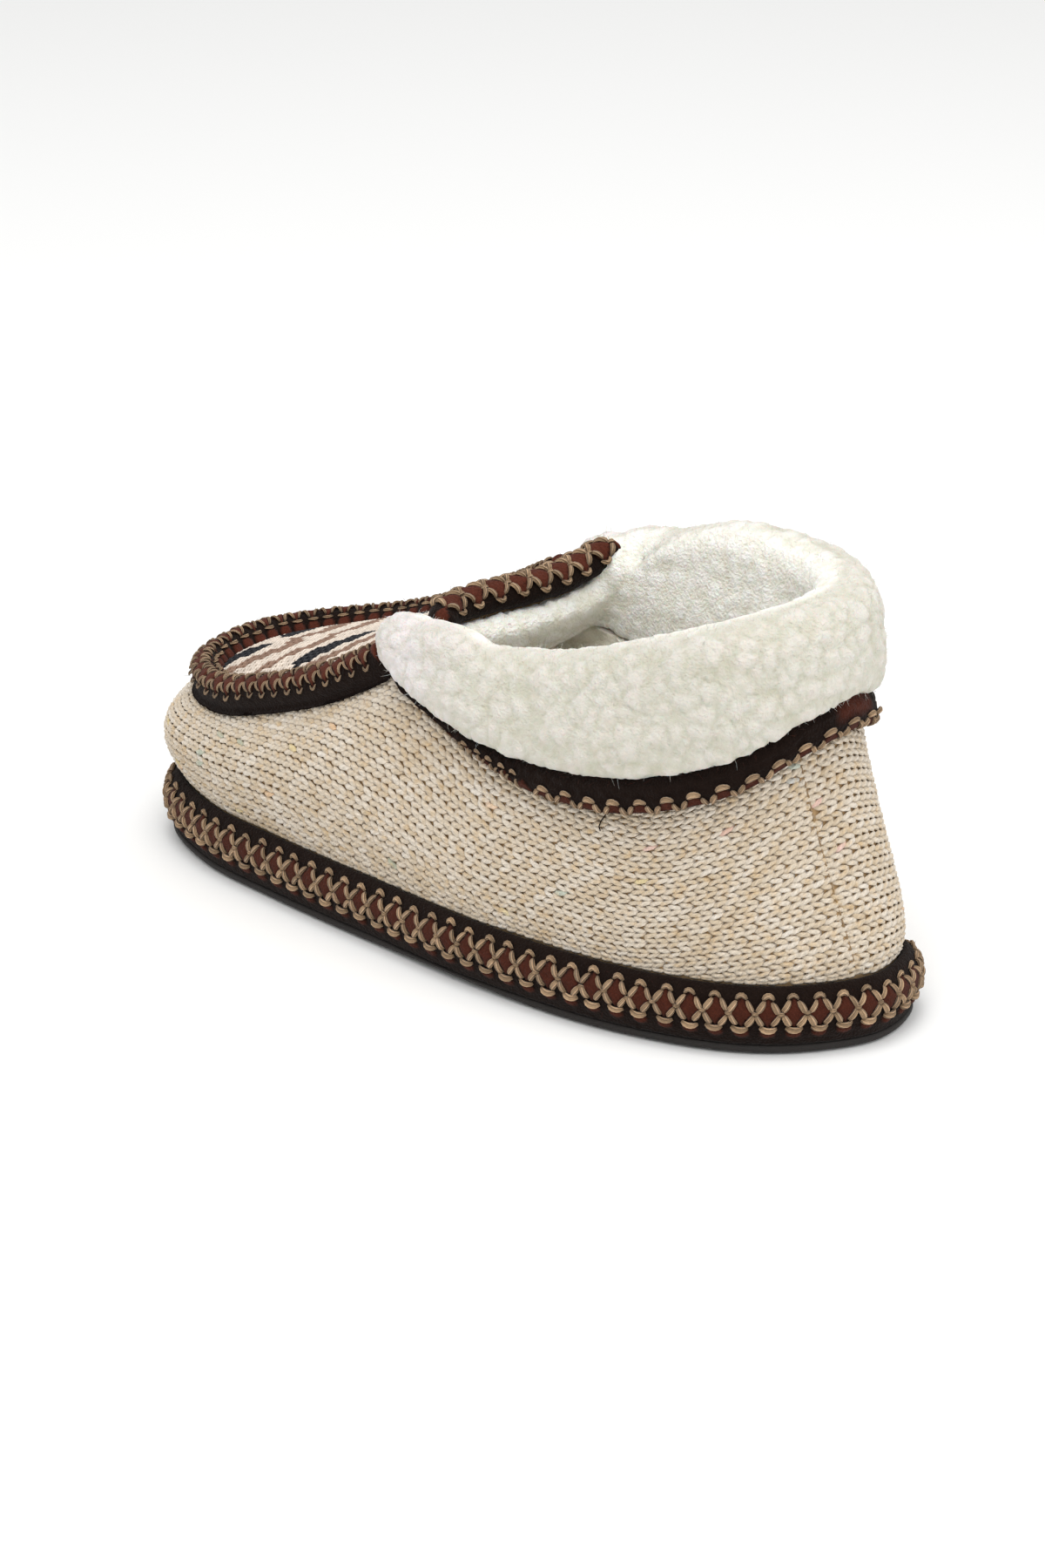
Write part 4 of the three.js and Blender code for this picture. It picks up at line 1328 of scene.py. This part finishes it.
FUZZ_COUNT, FUZZ_LONG, FUZZ_THIN = 5200, 1.4, 0.055
picked = chance.integers(len(pile_points), size=FUZZ_COUNT)
fuzz = Strands()
fuzz_dyes = np.tile(FLEECE_LIGHT, (FUZZ_COUNT, 1))
loose_fibres(fuzz, pile_points[picked], pile_outs[picked], FUZZ_LONG, FUZZ_THIN, fuzz_dyes)
fit("cuff_fuzz", fuzz.mesh(), fleece, "fleece")

# Loose fibre of the tapes: short black and brown hairs of the wool, teased out of the felt, most of all
# along its edges. Each row: the tape, its line, from and to across it, how many hairs, and how long.
TAPE_HAIRS = [
    (edge_place, edge_run, -0.4, 0.5, 420, 1.3), (edge_place, edge_run, 8.5, 10, 420, 1.3),
    (band_place, band_run, 4.2, 5.2, 360, 0.8), (band_place, band_run, -9, 4.2, 260, 0.8),
    (trim_place, trim_run, 12, 13.3, 200, 1.2), (trim_place, trim_run, -8, 10, 120, 1.2),
    (throat_place, throat_run, -7, 5, 90, 1.2),
]
HAIR_THIN = 0.05
BROWN_HAIRS = 0.4
tape_fuzz = Strands()
for place, run, low, high, count, long in TAPE_HAIRS:
    along = chance.uniform(0, run.total, count)
    across = chance.uniform(low, high, count)
    roots = placed(place(along, across, 0))
    stands = unit(placed(place(along, across, 1)) - roots)
    hairs = np.where(chance.random((count, 1)) < BROWN_HAIRS, TAPE_BROWN, TAPE_BLACK)
    loose_fibres(tape_fuzz, roots, stands, long, HAIR_THIN, hairs)

# A loose end of dark thread below the cuff's edge on the outer side.
THREAD_ROWS = np.array([[3.12, 3.13, 3.16, 3.17, 3.155]])
THREAD_UPS = np.array([[1.5, -0.5, -2.4, -4, -5.2]])
THREAD_OUT, THREAD_RADIUS = 1.1, 0.2
thread_hem = hem_rise(THREAD_ROWS)
thread_rises = thread_hem + rise_for(THREAD_ROWS, thread_hem, THREAD_UPS)
thread_path = placed(skin(THREAD_ROWS, thread_rises, THREAD_OUT))
tape_fuzz.add(thread_path, out_of(THREAD_ROWS, thread_rises), THREAD_RADIUS, 1.0, TAPE_BLACK[None])
fit("tape_fuzz", tape_fuzz.mesh(), felt, "tape")

# Studio: a plain pale floor, soft light from large lamps and the sky, and the camera at the
# photograph's angle.
FLOOR_WIDE = 12
ground = bmesh.new()
bmesh.ops.create_grid(ground, x_segments=1, y_segments=1, size=FLOOR_WIDE / 2)
floor_mesh = bpy.data.meshes.new("floor")
ground.to_mesh(floor_mesh)
ground.free()
paper = Finish("white_paper", {"Base Color": dye(244, 244, 243), "Roughness": 0.9, "Specular IOR Level": 0.1})
floor_mesh.materials.append(paper.material)
floor = bpy.data.objects.new("floor", floor_mesh)
bpy.context.scene.collection.objects.link(floor)


def stand(name, data, place, aim):
    """Puts a lamp or the camera in its place, facing a point."""
    holder = bpy.data.objects.new(name, data)
    holder.location = place
    holder.rotation_euler = (Vector(aim) - Vector(place)).to_track_quat("-Z", "Y").to_euler()
    bpy.context.scene.collection.objects.link(holder)
    return holder


# Place, aim, size and power of each lamp.
LAMPS = {
    "key_lamp": ((-0.9, 1.1, 1.5), (0, 0, 0.05), 1.2, 9),
    "fill_lamp": ((-1.4, -0.6, 1.0), (0, 0, 0.05), 1.5, 6),
    "top_lamp": ((-0.15, 0.35, 1.9), (0, 0, 0), 1.4, 17),
}
for name, (place, aim, size, power) in LAMPS.items():
    light = bpy.data.lights.new(name, "AREA")
    light.shape = "DISK"
    light.size = size
    light.energy = power
    stand(name, light, place, aim)
SKY_STRENGTH = 0.72
world = bpy.data.worlds.new("studio")
bpy.context.scene.world = world
world.use_nodes = True
sky = world.node_tree.nodes["Background"]
sky.inputs["Color"].default_value = (1, 1, 1, 1)
sky.inputs["Strength"].default_value = SKY_STRENGTH
bpy.context.scene.view_settings.view_transform = "Standard"

CAMERA_PLACE = (-0.6889, 0.78185, 0.4828)
CAMERA_AIM = (0.0003, -0.00125, 0.040)
camera_data = bpy.data.cameras.new("camera")
camera_data.lens = 90
camera_data.sensor_width = 36
bpy.context.scene.camera = stand("camera", camera_data, CAMERA_PLACE, CAMERA_AIM)
